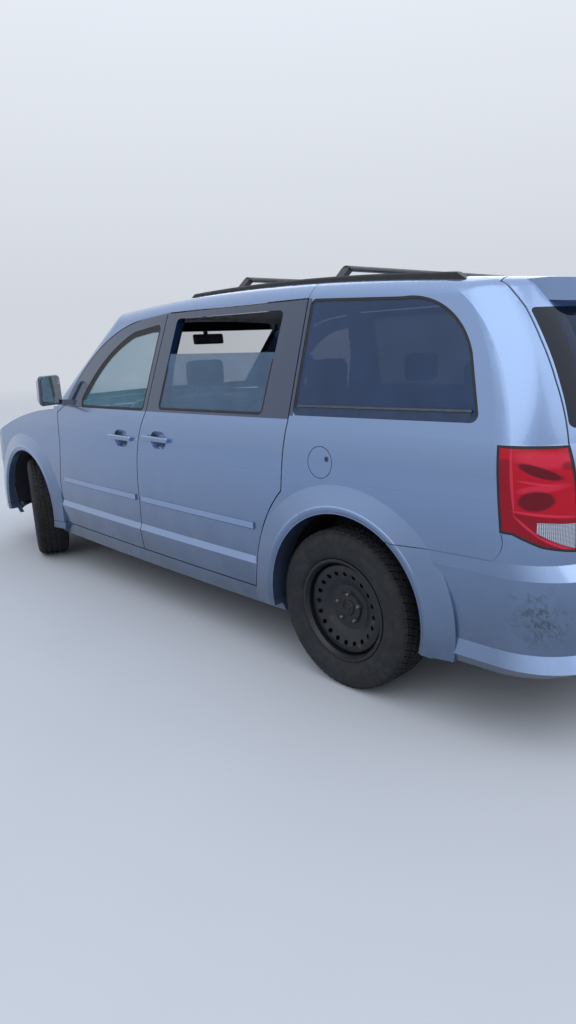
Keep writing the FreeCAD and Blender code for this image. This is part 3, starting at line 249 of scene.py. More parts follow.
# Materials
def paint_colour(shade):
    """Metallic flake; a painted highlight on the faces that face up below the waist; and a dark layer low on
    the upright panels and on faces that don't face up, partly road dirt and partly painted shade.
    """
    flake = shade.spread(shade.cells(1400.0), 0.0, 0.7)
    colour = shade.mix(flake, PAINT, PAINT_SHADE)
    low = shade.spread(shade.axes()["Z"], 0.30, 0.98, 1.0, 0.0)
    tilt = shade.node("ShaderNodeSeparateXYZ")
    shade.link(shade.node("ShaderNodeNewGeometry").outputs["Normal"], tilt.inputs["Vector"])
    facing_up = shade.spread(tilt.outputs["Z"], 0.14, 0.36)
    # painted highlight on the faces that face up below the waist
    colour = shade.mix(shade.product([facing_up, shade.spread(shade.axes()["Z"], 0.88, 0.97, 1.0, 0.0)]),
                       colour, PAINT_HIGHLIGHT)
    # darker towards the bottom and where faces don't face up: partly road dirt, partly painted shade
    film_and_shade = shade.product([low, shade.spread(facing_up, 0.0, 1.0, 0.90, 0.0),
                          shade.spread(shade.noise(5.0, 6.0), 0.30, 0.70, 0.72, 1.0)])
    return shade.mix(film_and_shade, colour, ROAD_DUST_AND_SHADE), film_and_shade


def moulding_highlight_and_shadow(shade):
    """The body-side moulding along both doors: a painted highlight on the strip, over a painted shadow line
    under it.
    """
    axes = shade.axes()
    low, high = MOULDING_Z
    along = [shade.product([shade.maths("GREATER_THAN", axes["X"], a),
                            shade.maths("LESS_THAN", axes["X"], b)]) for a, b in MOULDING_X]
    doors = shade.product([shade.maths("MAXIMUM", *along),
                           shade.maths("GREATER_THAN", shade.maths("ABSOLUTE", axes["Y"]), DOOR_SIDE_Y)])
    # painted highlight along the moulding strip
    strip_highlight = shade.product([doors, shade.spread(axes["Z"], low + 0.001, low + 0.003),
                                shade.spread(axes["Z"], high - 0.002, high, 1.0, 0.0)])
    # painted shadow line under the moulding
    seam_shadow = shade.product([doors, shade.spread(axes["Z"], low - 0.006, low - 0.004),
                          shade.spread(axes["Z"], low + 0.001, low + 0.003, 1.0, 0.0)])
    base = shade.shader.inputs["Base Color"].links[0].from_socket
    base = shade.mix(shade.product([strip_highlight, 0.6]), base, PAINT_HIGHLIGHT)
    shade.set("Base Color", shade.mix(shade.product([seam_shadow, 0.75]), base, SLATE))


def paint(name="paint"):
    shade = Shade(name, Metallic=0.85, Coat_Weight=1.0, Coat_Roughness=0.05, IOR=1.5)
    colour, film_and_shade = paint_colour(shade)
    shade.set("Base Color", colour)
    shade.set("Roughness", shade.spread(film_and_shade, 0.0, 0.6, 0.26, 0.44))
    shade.bump(shade.noise(260.0, 2.0), 0.015, 0.001)
    return shade


def door_paint():
    shade = paint("door_paint")
    moulding_highlight_and_shadow(shade)
    return shade.material


def two_tone(name, line_z, slope):
    """Paint with the moulding's painted highlight and shadow line below a straight line along the waist, gloss
    black above it.
    """
    shade = paint(name)
    moulding_highlight_and_shadow(shade)
    axes = shade.axes()
    line = shade.maths("ADD", shade.maths("MULTIPLY", axes["X"], slope), line_z)
    above = shade.spread(shade.maths("SUBTRACT", axes["Z"], line), -0.0004, 0.0004)
    base = shade.shader.inputs["Base Color"].links[0].from_socket
    rough = shade.shader.inputs["Roughness"].links[0].from_socket
    shade.set("Base Color", shade.mix(above, base, SLATE))
    shade.set("Roughness", shade.maths("ADD", rough, shade.maths("MULTIPLY", above, -0.16)))
    shade.set("Metallic", shade.spread(above, 0.0, 1.0, 0.85, 0.0))
    return shade.material


def side_paint(name, front, rear, low, high):
    """Paint with a gloss black strip ahead of the quarter window, a painted shadow in the fuel door's cut-out,
    and the pillar's fold.
    """
    shade = paint(name)
    axes = shade.axes()
    mask = shade.maths("GREATER_THAN", shade.maths("ABSOLUTE", axes["Y"]), PILLAR_SIDE_Y)
    for axis, a, b in (("X", rear, front), ("Z", low, high)):
        mask = shade.maths("MULTIPLY", mask, shade.maths("GREATER_THAN", axes[axis], a))
        mask = shade.maths("MULTIPLY", mask, shade.maths("LESS_THAN", axes[axis], b))
    base = shade.shader.inputs["Base Color"].links[0].from_socket
    # painted shade: a dark spot in the fuel door's cut-out
    notch_shade = shade.near(FUEL_NOTCH, 0.009, 0.005)
    shade.set("Base Color", shade.mix(shade.maths("MAXIMUM", mask, notch_shade), base, SLATE))
    shade.set("Metallic", shade.spread(mask, 0.0, 1.0, 0.85, 0.0))
    pillar_fold(shade)
    return shade.material


def pillar_fold(shade):
    """The soft fold down the rear pillar: behind an elliptic line the panel turns towards the rear."""
    axes = shade.axes()
    squares = []
    for axis, (middle, reach) in (("X", FOLD_X), ("Z", FOLD_Z)):
        offset = shade.maths("MULTIPLY", shade.maths("SUBTRACT", axes[axis], middle), 1 / reach)
        squares.append(shade.maths("MULTIPLY", offset, offset))
    radius = shade.maths("SQRT", shade.maths("ADD", *squares))
    behind = shade.spread(radius, 1.0, 1.3, 0.0, -0.3 * FOLD_X[1] * math.tan(FOLD_TURN))
    upper = shade.spread(axes["Z"], FOLD_Z[0] - 0.05, FOLD_Z[0] + 0.05)
    aft = shade.spread(axes["X"], FOLD_X[0] - 0.20, FOLD_X[0], 1.0, 0.0)
    side = shade.maths("GREATER_THAN", shade.maths("ABSOLUTE", axes["Y"]), PILLAR_SIDE_Y)
    normal = shade.bump(shade.product([behind, upper, aft, side]), 1.0, 1.0)
    shade.set("Coat Normal", normal)


def scuffed_paint(centre, radius):
    """Paint with one dark rubbed patch."""
    shade = paint("bumper_paint")
    patch = shade.near(centre, radius * 0.3, radius * 0.8)
    lumps = shade.spread(shade.noise(19.0, 3.0), 0.40, 0.56)
    strokes = shade.maths("MAXIMUM", shade.spread(shade.scratches(95.0, 52.0, 5.0), 0.50, 0.60),
                          shade.spread(shade.scratches(80.0, 20.0, 4.0), 0.54, 0.64))
    smear = shade.spread(shade.noise(24.0, 5.0, 0.6), 0.42, 0.70, 0.0, 0.40)
    mask = shade.product([patch, shade.maths("MAXIMUM", shade.product([strokes, lumps]), smear), 0.78])
    base = shade.shader.inputs["Base Color"].links[0].from_socket
    shade.set("Base Color", shade.mix(mask, base, SCUFF))
    return shade.material


def trim(name, colour=BLACK, roughness=0.5, grain=900.0, strength=0.12):
    """Moulded plastic with a fine grain."""
    shade = Shade(name, IOR=1.48)
    tone = shade.spread(shade.noise(22.0, 4.0), 0.3, 0.7)
    shade.set("Base Color", shade.mix(tone, colour, tuple(min(1.0, c * 1.35 + 0.003) for c in colour)))
    shade.set("Roughness", shade.spread(shade.noise(60.0), 0.3, 0.7, roughness - 0.06, roughness + 0.08))
    shade.bump(shade.noise(grain, 2.0), strength, 0.0006)
    return shade.material


def glass(name, tint, opacity, frit=None, mirror=0.5):
    """A thin tinted pane: clear straight on, more solid at a glance, black where frit says."""
    shade = Shade(name, IOR=1.52, Specular_IOR_Level=mirror)
    smear = shade.spread(shade.noise(7.0, 5.0), 0.35, 0.75)
    colour = shade.mix(smear, tint, tuple(c * 1.3 + 0.002 for c in tint))
    look = shade.node("ShaderNodeLayerWeight")
    look.inputs["Blend"].default_value = 0.5
    turned = shade.maths("POWER", look.outputs["Facing"], 3.0)
    alpha = shade.spread(turned, 0.0, 1.0, opacity, 1.0)
    if frit:
        edge = frit(shade)
        colour = shade.mix(edge, colour, FRIT)
        alpha = shade.maths("MAXIMUM", alpha, edge)
    shade.set("Base Color", colour)
    shade.set("Roughness", shade.spread(smear, 0.0, 1.0, 0.015, 0.04))
    shade.set("Alpha", alpha)
    return shade.material


def frit_band(low, high, half_low, half_high):
    """The black printed border of a screen: outside a straight-sided opening in height and width."""
    def edge(shade):
        axes = shade.axes()
        slope = (half_high - half_low) / (high - low)
        reach = shade.maths("ADD", shade.maths("MULTIPLY", axes["Z"], slope), half_low - low * slope)
        wide = shade.spread(shade.maths("SUBTRACT", shade.maths("ABSOLUTE", axes["Y"]), reach), 0.0, 0.002)
        under = shade.spread(axes["Z"], low - 0.002, low, 1.0, 0.0)
        over = shade.spread(axes["Z"], high, high + 0.002)
        return shade.maths("MAXIMUM", wide, shade.maths("MAXIMUM", under, over))
    return edge


def metal(name, colour, roughness, rust=0.0, metallic=0.9):
    """Bare or painted steel with a bloom of rust."""
    shade = Shade(name)
    patches = shade.spread(shade.noise(16.0, 7.0, 0.65), 0.62 - 0.3 * rust, 0.80 - 0.3 * rust)
    shade.set("Base Color", shade.mix(patches, colour, RUST) if rust else colour)
    if not rust:
        tone = shade.spread(shade.noise(40.0, 4.0), 0.3, 0.7)
        shade.set("Base Color", shade.mix(tone, colour, tuple(c * 0.75 for c in colour)))
    shade.set("Metallic", shade.spread(patches, 0.0, 1.0, metallic, 0.1))
    shade.set("Roughness", shade.spread(patches, 0.0, 1.0, roughness, 0.85))
    shade.bump(shade.noise(120.0, 5.0), 0.1, 0.0015)
    return shade.material


def rubber(name="tyre_rubber"):
    """Tyre rubber with pale dust where it meets the road."""
    shade = Shade(name, Roughness=0.78, IOR=1.4)
    dust = shade.spread(shade.noise(26.0, 6.0), 0.45, 0.85, 0.0, 0.22)
    shade.set("Base Color", shade.mix(dust, RUBBER, TYRE_DUST))
    shade.bump(shade.noise(420.0, 4.0), 0.22, 0.0012)
    return shade.material


def fabric(name, colour, scale=900.0):
    """Woven seat cloth."""
    shade = Shade(name, Roughness=0.92, Sheen_Weight=0.35, Sheen_Roughness=0.5)
    weave = shade.maths("MULTIPLY", shade.waves(scale, "X"), shade.waves(scale, "Z"))
    pale, dark = tuple(c * 1.4 for c in colour), tuple(c * 0.5 for c in colour)
    tone = shade.mix(shade.spread(shade.noise(14.0, 5.0), 0.3, 0.7), colour, pale)
    shade.set("Base Color", shade.mix(shade.spread(weave, 0.2, 0.9, 0.0, 0.5), tone, dark))
    shade.bump(weave, 0.4, 0.0008)
    return shade.material


def tail_lens():
    """Red lens: plain front band, swept chambers between pale strokes, clear reversing lamp at the foot."""
    shade = Shade("tail_lens", IOR=1.45, Specular_IOR_Level=0.35)
    axes = shade.axes()
    optics = shade.waves(60.0, "Z")
    inner = shade.half_plane((-2.215, 1.142), (-2.250, 0.878))
    foot = shade.product([inner, shade.half_plane((-2.400, 0.898), (-2.248, 0.918))])
    band = shade.product([shade.maths("SUBTRACT", 1.0, inner),
                          shade.spread(axes["Z"], 1.099, 1.101, 1.0, 0.0)])
    layers = [
        (LENS_SHADED, 0.75, band),
        (LENS_PALE, 0.50, shade.leaf((-2.315, 1.100), (0.085, 0.006), 0.026, 0.6)),
        (LENS_PALE, 0.50, shade.leaf((-2.312, 1.004), (0.062, -0.010), 0.014, 0.5)),
        (LENS_DARK, 0.92, shade.leaf((-2.303, 1.060), (-0.060, -0.024), 0.016, 0.25)),
        (LENS_DARK, 0.85, shade.leaf((-2.302, 0.962), (-0.050, 0.004), 0.034, 0.22)),
        (LENS_DARK, 0.60, shade.leaf((-2.372, 1.080), (0.016, 0.004), 0.014, 0.5)),
        (LENS_SHADED, 0.85, foot),
        (LENS_PALE, 0.70, shade.stroke((-2.212, 1.142), (-2.242, 0.915), 0.0045)),
        (LENS_PALE, 0.70, shade.stroke((-2.238, 0.924), (-2.402, 0.906), 0.0045)),
        (LENS_PALE, 0.60, shade.stroke((-2.245, 1.030), (-2.350, 1.014), 0.0040)),
        (LENS_PALE, 0.70, shade.stroke((-2.244, 0.906), (-2.318, 0.838), 0.0045)),
        (LENS_PALE, 0.70, shade.stroke((-2.310, 0.842), (-2.404, 0.784), 0.0045)),
    ]
    tone = shade.mix(shade.spread(optics, 0.1, 0.9, 0.0, 0.30), LENS_RED, LENS_RIB)
    for colour, strength, shape in layers:
        tone = shade.mix(shade.product([shape, strength]), tone, colour)
    clear = shade.product([shade.half_plane((-2.311, 0.889), (-2.311, 0.800)),
                           shade.half_plane((-2.410, 0.882), (-2.311, 0.889)),
                           shade.half_plane((-2.311, 0.852), (-2.405, 0.792))])
    prisms = shade.product([shade.waves(70.0, "Y"), shade.waves(70.0, "Z")])
    bright = shade.mix(shade.spread(prisms, 0.15, 0.6), PRISM_SHADE, LENS_CLEAR)
    shade.set("Base Color", shade.mix(clear, tone, bright))
    shade.set("Roughness", shade.spread(optics, 0.0, 1.0, 0.08, 0.16))
    shade.bump(optics, 0.10, 0.001)
    return shade.material


def head_lens():
    """Clear lens over fluted bright bowls in a dark housing."""
    shade = Shade("head_lens", IOR=1.5, Coat_Weight=1.0, Coat_Roughness=0.02)
    axes = shade.axes()
    width = shade.maths("ABSOLUTE", axes["Y"])
    flutes = shade.waves(30.0, "Y")
    bowls = []
    for middle, half, low, high in ((0.655, 0.070, 0.715, 0.815), (0.790, 0.050, 0.725, 0.815)):
        off = shade.maths("ABSOLUTE", shade.maths("SUBTRACT", width, middle))
        bowls.append(shade.product([shade.spread(off, half - 0.004, half, 1.0, 0.0),
                                    shade.spread(axes["Z"], low, low + 0.006),
                                    shade.spread(axes["Z"], high - 0.006, high, 1.0, 0.0)]))
    bowl = shade.maths("MAXIMUM", *bowls)
    silver = shade.mix(shade.spread(flutes, 0.2, 0.8), BOWL_BRIGHT, BOWL_SHADE)
    housing = shade.mix(shade.spread(shade.noise(30.0), 0.3, 0.7), HOUSING_LIGHT, HOUSING_DARK)
    shade.set("Base Color", shade.mix(bowl, housing, silver))
    shade.set("Metallic", shade.spread(bowl, 0.0, 1.0, 0.3, 0.9))
    shade.set("Roughness", shade.spread(flutes, 0.0, 1.0, 0.16, 0.24))
    shade.bump(flutes, 0.15, 0.002)
    return shade.material


PAINTED = paint().material
DOOR_PAINT = door_paint()
WAIST_LINE = two_tone("paint_and_black", 1.1655, -0.0144)
SIDE_PAINT = side_paint("side_paint", -1.150, -1.182, 1.197, 1.692)
BUMPER = scuffed_paint(SCUFF_AT, SCUFF_RADIUS)
TRIM = trim("black_trim")
GLOSS_BLACK = trim("gloss_black", SLATE, 0.14, 500.0, 0.02)
SEAL = trim("rubber_seal", (0.008, 0.008, 0.009), 0.6, 700.0, 0.1)
CABIN = trim("cabin_plastic", CABIN_PLASTIC, 0.6, 650.0, 0.35)
LINING = fabric("headliner", HEADLINER, 500.0)
CARPET = fabric("carpet", CARPET_PILE, 350.0)
SEAT_CLOTH = fabric("seat_cloth", CLOTH)
LEATHER = trim("wheel_leather", (0.018, 0.018, 0.02), 0.42, 420.0, 0.3)
DARK_GLASS = glass("privacy_glass", (0.009, 0.032, 0.090), 0.72)
SLIDE_GLASS = glass("sliding_glass", (0.055, 0.110, 0.190), 0.55)
REAR_GLASS = glass("rear_glass", (0.004, 0.016, 0.046), 0.80, frit_band(1.236, 1.568, 0.684, 0.633), 0.25)
CLEAR_GLASS = glass("clear_glass", (0.10, 0.25, 0.34), 0.18)
SCREEN_GLASS = glass("screen_glass", (0.10, 0.22, 0.24), 0.10, frit_band(1.205, 1.598, 0.745, 0.646))
MIRROR = metal("mirror_silver", (0.82, 0.84, 0.86), 0.03, 0.0, 1.0)
TRACK = metal("window_track", (0.10, 0.11, 0.13), 0.35, 0.0, 0.7)
CHROME = metal("bright_trim", (0.62, 0.63, 0.65), 0.14, 0.0, 1.0)
RIM_BLACK = metal("wheel_black", (0.010, 0.012, 0.016), 0.40, 0.04, 0.2)
DISC = metal("brake_disc", (0.24, 0.22, 0.21), 0.38, 0.5)
NUT_STEEL = metal("nut_steel", (0.17, 0.16, 0.16), 0.40, 0.35)
UNDERBODY = metal("underbody", UNDERSIDE, 0.65, 0.35, 0.3)
PIPE = metal("exhaust_steel", (0.22, 0.20, 0.18), 0.45, 0.6, 0.8)
CAST = metal("cast_alloy", (0.33, 0.33, 0.34), 0.55, 0.05, 0.8)
TANK = trim("tank_plastic", (0.02, 0.02, 0.021), 0.65, 300.0, 0.3)
TYRE = rubber()
TAIL = tail_lens()
HEAD = head_lens()

WHOLE = {
    PAINTED: ("fender_left", "fender_right", "front_bumper", "hood"),
    SIDE_PAINT: ("fuel_door",),
    BUMPER: ("rear_bumper",),
    WAIST_LINE: ("front_left_frame", "front_right_frame", "sliding_door_left", "sliding_door_right"),
    TRIM: ("cowl_panel", "grille", "wheel_liners", "roof_rack", "rear_wiper"),
    CABIN: ("dashboard",),
    LEATHER: ("steering_wheel",),
    UNDERBODY: ("engine_bay", "front_subframe", "rear_axle", "knuckle_left", "knuckle_right"),
    PIPE: ("exhaust",),
    CAST: ("engine_block",),
    TANK: ("fuel_tank",),
    TAIL: ("tail_lamps",),
    HEAD: ("headlamps",),
    REAR_GLASS: ("liftgate_glass",),
    SCREEN_GLASS: ("windscreen",),
}


def dress(node, *rules):
    """Gives a CAD node its materials, each with a test of a face's centre and normal, the first for all."""
    mesh = NODES[node].data
    mesh.materials.clear()
    for material, _ in rules:
        mesh.materials.append(material)
    for face in mesh.polygons:
        face.material_index = 0
        for index, (_, test) in enumerate(rules):
            if test and test(face.center, face.normal):
                face.material_index = index


for material, names in WHOLE.items():
    for name in names:
        dress(name, (material, None))

inward = lambda centre, normal: normal.y * centre.y < 0 and abs(normal.y) > 0.55
for side in SIDES:
    dress("front_%s_door" % side, (DOOR_PAINT, None), (CABIN, inward))
    dress("sliding_door_%s" % side, (WAIST_LINE, None), (CABIN, inward))
    dress("side_frame_%s" % side, (SIDE_PAINT, None), (CABIN, lambda c, n: inward(c, n) and abs(c.y) > 0.6))
    dress("front_%s_glass" % side, (CLEAR_GLASS, None), (MIRROR, lambda c, n: abs(c.y) > 0.955))
dress("side_glass", (DARK_GLASS, None), (SLIDE_GLASS, lambda c, n: c.x > -1.19))
dress("roof_panel", (PAINTED, None), (LINING, lambda c, n: n.z < -0.5))
dress("liftgate", (PAINTED, None), (CABIN, lambda c, n: n.x > 0.5 and c.x < -2.06),
      (TRIM, lambda c, n: n.x < -0.999 and abs(c.x - RECESS_X) < 0.0003
       and abs(c.y) < RECESS_HALF and RECESS_Z[0] < c.z < RECESS_Z[1]))
dress("floor_pan", (UNDERBODY, None),  # carpet on the floor and on the bulkhead's rear face
      (CARPET, lambda c, n: n.z > 0.5 or (n.x < -0.5 and c.x > 1.1)))


# Mesh tools
def finished(name, mesh, body, material, slot, smooth=True):
    """A new piece on its body, smooth where its faces bend gently."""
    item = bpy.data.objects.new(name, mesh)
    bpy.context.scene.collection.objects.link(item)
    mesh.materials.append(material)
    if smooth:
        mesh.shade_smooth()
        mesh.set_sharp_from_angle(angle=math.radians(38))
    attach(item, body)
    return item


def from_bmesh(name, shape, *rest, **more):
    mesh = bpy.data.meshes.new(name)
    bmesh.ops.recalc_face_normals(shape, faces=shape.faces)
    shape.to_mesh(mesh)
    shape.free()
    return finished(name, mesh, *rest, **more)


def rounded_block(shape, low, high, radius, turn=Matrix.Identity(4)):
    """Adds a block with rounded edges between two corners."""
    low, high = Vector(low), Vector(high)
    place = turn @ Matrix.Translation((low + high) / 2) @ Matrix.Diagonal((*(high - low), 1.0))
    made = bmesh.ops.create_cube(shape, size=1.0, matrix=place)
    edges = list({edge for vert in made["verts"] for edge in vert.link_edges})
    bmesh.ops.bevel(shape, geom=edges, offset=radius, segments=3, affect="EDGES", profile=0.5)


def lathe(shape, rows, place, steps):
    """Adds a closed turned form: rows of (distance along the axis, radius), axis along the place's Z."""
    rings = []
    for along, radius in rows:
        if radius < 1e-6:
            rings.append([shape.verts.new(place @ Vector((0, 0, along)))])
            continue
        angles = [2 * math.pi * i / steps for i in range(steps)]
        rings.append([shape.verts.new(place @ Vector((radius * math.cos(a), radius * math.sin(a), along)))
                      for a in angles])
    for a, b in zip(rings, rings[1:]):
        for i in range(steps):
            j = (i + 1) % steps
            corners = [a[i % len(a)], a[j % len(a)], b[j % len(b)], b[i % len(b)]]
            corners = [c for n, c in enumerate(corners) if c not in corners[:n]]
            if len(corners) > 2:
                shape.faces.new(corners)
    for ring in (rings[0], rings[-1]):
        if len(ring) > 2:
            shape.faces.new(ring)


# Wheels
CORNERS = ("front_left", "front_right", "rear_left", "rear_right")
JOINTS = {joint["name"]: joint for joint in frame["joints"]}
TYRE_RADIUS, TREAD_DEPTH = 0.362, 0.0085
SIDEWALL = [(0.0890, 0.2185), (0.0890, 0.2330), (0.0975, 0.2385), (0.1045, 0.2480), (0.1090, 0.2640),
            (0.1113, 0.2860), (0.1120, 0.2990), (0.1104, 0.3010), (0.1108, 0.3090), (0.1085, 0.3250),
            (0.1030, 0.3390), (0.0930, 0.3490), (0.0800, 0.3525)]
TREAD_PITCHES = 66
TREAD_ROWS = [(-0.0775, 0.030, 0.0), (-0.0395, 0.026, 0.5), (-0.0008, 0.026, 0.0), (0.0379, 0.026, 0.5),
              (0.0760, 0.030, 0.0)]  # middle along the axle, width, share of a pitch that it lags
LUG_CIRCLE, LUG_COUNT = 0.0635, 5


def wheel_place(corner):
    """The wheel's own frame: its centre, with Z along the axle away from the van."""
    joint = JOINTS["spin_" + corner]
    outward = Vector(joint["axis"]) * (1 if corner.endswith("left") else -1)
    up = Vector((0, 0, 1)) - outward * outward.z
    up.normalize()
    turn = Matrix((up.cross(outward), up, outward)).transposed().to_4x4()
    return Matrix.Translation(Vector(joint["pos_m"])) @ turn


def tread_block(shape, place, middle, width, angle, length):
    """One sloped-sided tread block on the crown."""
    corners = []
    for radius, shrink in ((TYRE_RADIUS - TREAD_DEPTH - 0.002, 1.0), (TYRE_RADIUS, 0.90)):
        for end, lag in ((-1, -1), (1, -1), (1, 1), (-1, 1)):
            along = middle + end * width / 2 * shrink
            drop = max(0.0, abs(along) - 0.072) ** 2 * 16.0
            turn = angle + lag * length / 2 * shrink + end * 0.012 * (1 if middle >= 0 else -1)
            reach = radius - drop
            point = Vector((reach * math.cos(turn), reach * math.sin(turn), along))
            corners.append(shape.verts.new(place @ point))
    low, top = corners[:4], corners[4:]
    shape.faces.new(top)
    for i in range(4):
        j = (i + 1) % 4
        shape.faces.new((low[i], low[j], top[j], top[i]))


def tyre(corner):
    place = wheel_place(corner)
    shape = bmesh.new()
    rows = SIDEWALL + [(-along, radius) for along, radius in SIDEWALL[::-1]]
    rings = []
    steps = 128
    for along, radius in rows:
        rings.append([shape.verts.new(place @ Vector((radius * math.cos(2 * math.pi * i / steps),
                                                      radius * math.sin(2 * math.pi * i / steps), along)))
                      for i in range(steps)])
    for a, b in zip(rings, rings[1:] + rings[:1]):
        for i in range(steps):
            j = (i + 1) % steps
            shape.faces.new((a[i], a[j], b[j], b[i]))
    pitch = 2 * math.pi / TREAD_PITCHES
    for middle, width, lag in TREAD_ROWS:
        for i in range(TREAD_PITCHES):
            for part in (-1, 0, 1):
                angle = (i + lag) * pitch + part * pitch * 0.28
                tread_block(shape, place, middle, width, angle, pitch * 0.25)
    item = from_bmesh("tyre_%s_treaded" % corner, shape, "wheel_" + corner, TYRE, "tyre")
    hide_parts("tyre_" + corner)


def rim_finish(corner):
    """Black steel wheel with the brake disc behind it left bare."""
    inverse = wheel_place(corner).inverted()

    def on_disc(centre, normal):
        local = inverse @ centre
        return local.z < 0.002 and math.hypot(local.x, local.y) < 0.146

    dress("rim_" + corner, (RIM_BLACK, None), (DISC, on_disc))


def wheel_fittings(corner):
    """Five cone nuts and the hub's dust cap."""
    place = wheel_place(corner)
    shape = bmesh.new()
    for i in range(LUG_COUNT):
        angle = 2 * math.pi * (i + 0.25) / LUG_COUNT
        spot = Matrix.Translation((LUG_CIRCLE * math.cos(angle), LUG_CIRCLE * math.sin(angle), 0.0365))
        lathe(shape, [(0.0, 0.0), (0.0, 0.0125), (0.004, 0.0105), (0.017, 0.0105),
                      (0.0215, 0.0065), (0.0220, 0.0)], place @ spot, 6)
    from_bmesh("nuts_%s" % corner, shape, "wheel_" + corner, NUT_STEEL, "black_steel")
    shape = bmesh.new()
    lathe(shape, [(0.0380, 0.0), (0.0380, 0.0345), (0.0500, 0.0338), (0.0530, 0.0310), (0.0520, 0.0270),
                  (0.0480, 0.0250), (0.0480, 0.0120), (0.0510, 0.0100), (0.0510, 0.0)], place, 40)
    from_bmesh("hub_cap_%s" % corner, shape, "wheel_" + corner, RIM_BLACK, "black_steel")


for corner in CORNERS:
    tyre(corner)
    rim_finish(corner)
    wheel_fittings(corner)


# Seats: stuffed pads with sewn channels, on moulded plinths
SEATS = [  # name, x, y, floor, width, tall, heads
    ("driver", 0.27, 0.40, 0.35, 0.50, 1.0, (0.0,)),
    ("passenger", 0.27, -0.40, 0.35, 0.50, 1.0, (0.0,)),
    ("middle_left", -0.76, 0.40, 0.35, 0.50, 1.0, (0.0,)),
    ("middle_right", -0.76, -0.40, 0.35, 0.50, 1.0, (0.0,)),
    ("bench", -1.64, 0.0, 0.502, 1.14, 0.84, (-0.35, 0.35)),
]
BACK_LEAN = math.radians(14)


def pad(name, size, place, channels=(), cross=()):
    """A stuffed pad, Z its show face: crowned, sides drawn in, channels along X and cross seams along Y."""
    shape = bmesh.new()
    bmesh.ops.create_cube(shape, size=2.0)
    bmesh.ops.subdivide_edges(shape, edges=shape.edges, cuts=23, use_grid_fill=True)
    power = 5.0
    for vert in shape.verts:
        x, y, z = vert.co
        reach = (abs(x) ** power + abs(y) ** power + abs(z) ** power) ** (1 / power)
        x, y, z = x / reach, y / reach, z / reach
        x *= 1 - 0.03 * (1 - y * y)
        y *= 1 - 0.03 * (1 - x * x)
        dent = sum(math.exp(-((y - c) / 0.035) ** 2) for c in channels)
        dent += sum(math.exp(-((x - c) / 0.045) ** 2) for c in cross)
        crown = 1 - 0.10 * (x * x + y * y) / 2
        bolster = 0.14 * math.exp(-((abs(y) - 0.86) / 0.16) ** 2) if channels else 0.0
        if z > 0:
            z = z * (crown + bolster) - 0.13 * min(dent, 1.0) * z
        vert.co = place @ Vector((x * size[0] / 2, y * size[1] / 2, z * size[2] / 2))
    item = from_bmesh(name, shape, "root", SEAT_CLOTH, "cloth")
    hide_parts("seats")
    return item


def seat(name, x, y, floor, width, tall, heads):
    sections = (-0.62, 0.62) if width < 0.8 else (-0.80, -0.36, 0.36, 0.80)
    cushion = Matrix.Translation((x + 0.262, y, floor + 0.222 * tall))
    cushion = cushion @ Matrix.Rotation(math.radians(-3), 4, "Y")
    pad("seat_%s_cushion" % name, (0.515, width - 0.006, 0.132 * tall), cushion, sections, (0.1,))
    lean = Matrix.Rotation(math.pi / 2 - BACK_LEAN, 4, "Y")
    back = Matrix.Translation((x - 0.022, y, floor + 0.545 * tall)) @ lean @ Matrix.Rotation(math.pi, 4, "Z")
    pad("seat_%s_back" % name, (0.665 * tall, width - 0.006, 0.118), back, sections, (-0.35,))
    head_z = floor + 0.885 * tall + 0.02 + 0.085 * tall
    shape = bmesh.new()
    for i, across in enumerate(heads):
        middle = Matrix.Translation((x - 0.145, y + across, head_z))
        pad("seat_%s_head_%d" % (name, i + 1), (0.165 * tall, 0.256, 0.088),
            middle @ Matrix.Rotation(math.pi / 2, 4, "Y"))
        for dy in (-0.06, 0.06):
            foot = Vector((x - 0.132, y + across + dy, head_z - 0.17 * tall))
            lathe(shape, [(0.0, 0.0), (0.0, 0.006), (0.16 * tall, 0.006), (0.16 * tall, 0.0)],
                  Matrix.Translation(foot), 12)
    from_bmesh("seat_%s_posts" % name, shape, "root", CHROME, "raw_steel")
    shape = bmesh.new()
    half = width / 2 - 0.055
    rounded_block(shape, (x + 0.06, y - half, floor), (x + 0.44, y + half, floor + 0.03), 0.008)
    rounded_block(shape, (x + 0.09, y - half + 0.03, floor + 0.02),
                  (x + 0.41, y + half - 0.03, floor + 0.168 * tall), 0.014)
    rounded_block(shape, (x - 0.045, y + half - 0.005, floor + 0.16 * tall),
                  (x + 0.40, y + half + 0.03, floor + 0.215 * tall), 0.012)
    from_bmesh("seat_%s_plinth" % name, shape, "root", CABIN, "interior_plastic")


for row in SEATS:
    seat(*row)


# Window seals, read from the panes' own outlines
SLIDING_PANE_X = -1.2  # the sliding door's pane lies ahead of this, the quarter window behind it
WOUND_DOWN_TOP = 1.46  # the left sliding pane's free top border shows above this and has no seal
NO_TOP = 2.0
RUN_X, RUN_Z = 0.02, (1.20, 1.612)  # the wide run: above the first height ahead of this X, else the second
TRACK_LIFT = 0.036


def rim_loops(node, facing):
    """The outlines of a node's faces that look along facing, each a closed list of (point, normal)."""
    shape = bmesh.new()
    shape.from_mesh(NODES[node].data)
    bmesh.ops.remove_doubles(shape, verts=shape.verts, dist=2e-5)
    facing = Vector(facing).normalized()
    chosen = {face for face in shape.faces if face.normal.dot(facing) > 0.55}
    border = [edge for edge in shape.edges if sum(face in chosen for face in edge.link_faces) == 1]
    after = {}
    for edge in border:
        for vert in edge.verts:
            after.setdefault(vert, []).append(edge)
    loops, seen = [], set()
    for start in border:
        if start in seen:
            continue
        loop, edge, vert = [], start, start.verts[0]
        while edge and edge not in seen:
            seen.add(edge)
            normals = [face.normal for face in vert.link_faces if face in chosen]
            normal = sum(normals, Vector()).normalized() if normals else facing.copy()
            loop.append((vert.co.copy(), normal))
            vert = edge.other_vert(vert)
            edge = next((e for e in after[vert] if e not in seen), None)
        if len(loop) > 8:
            loops.append(loop)
    shape.free()
    return loops


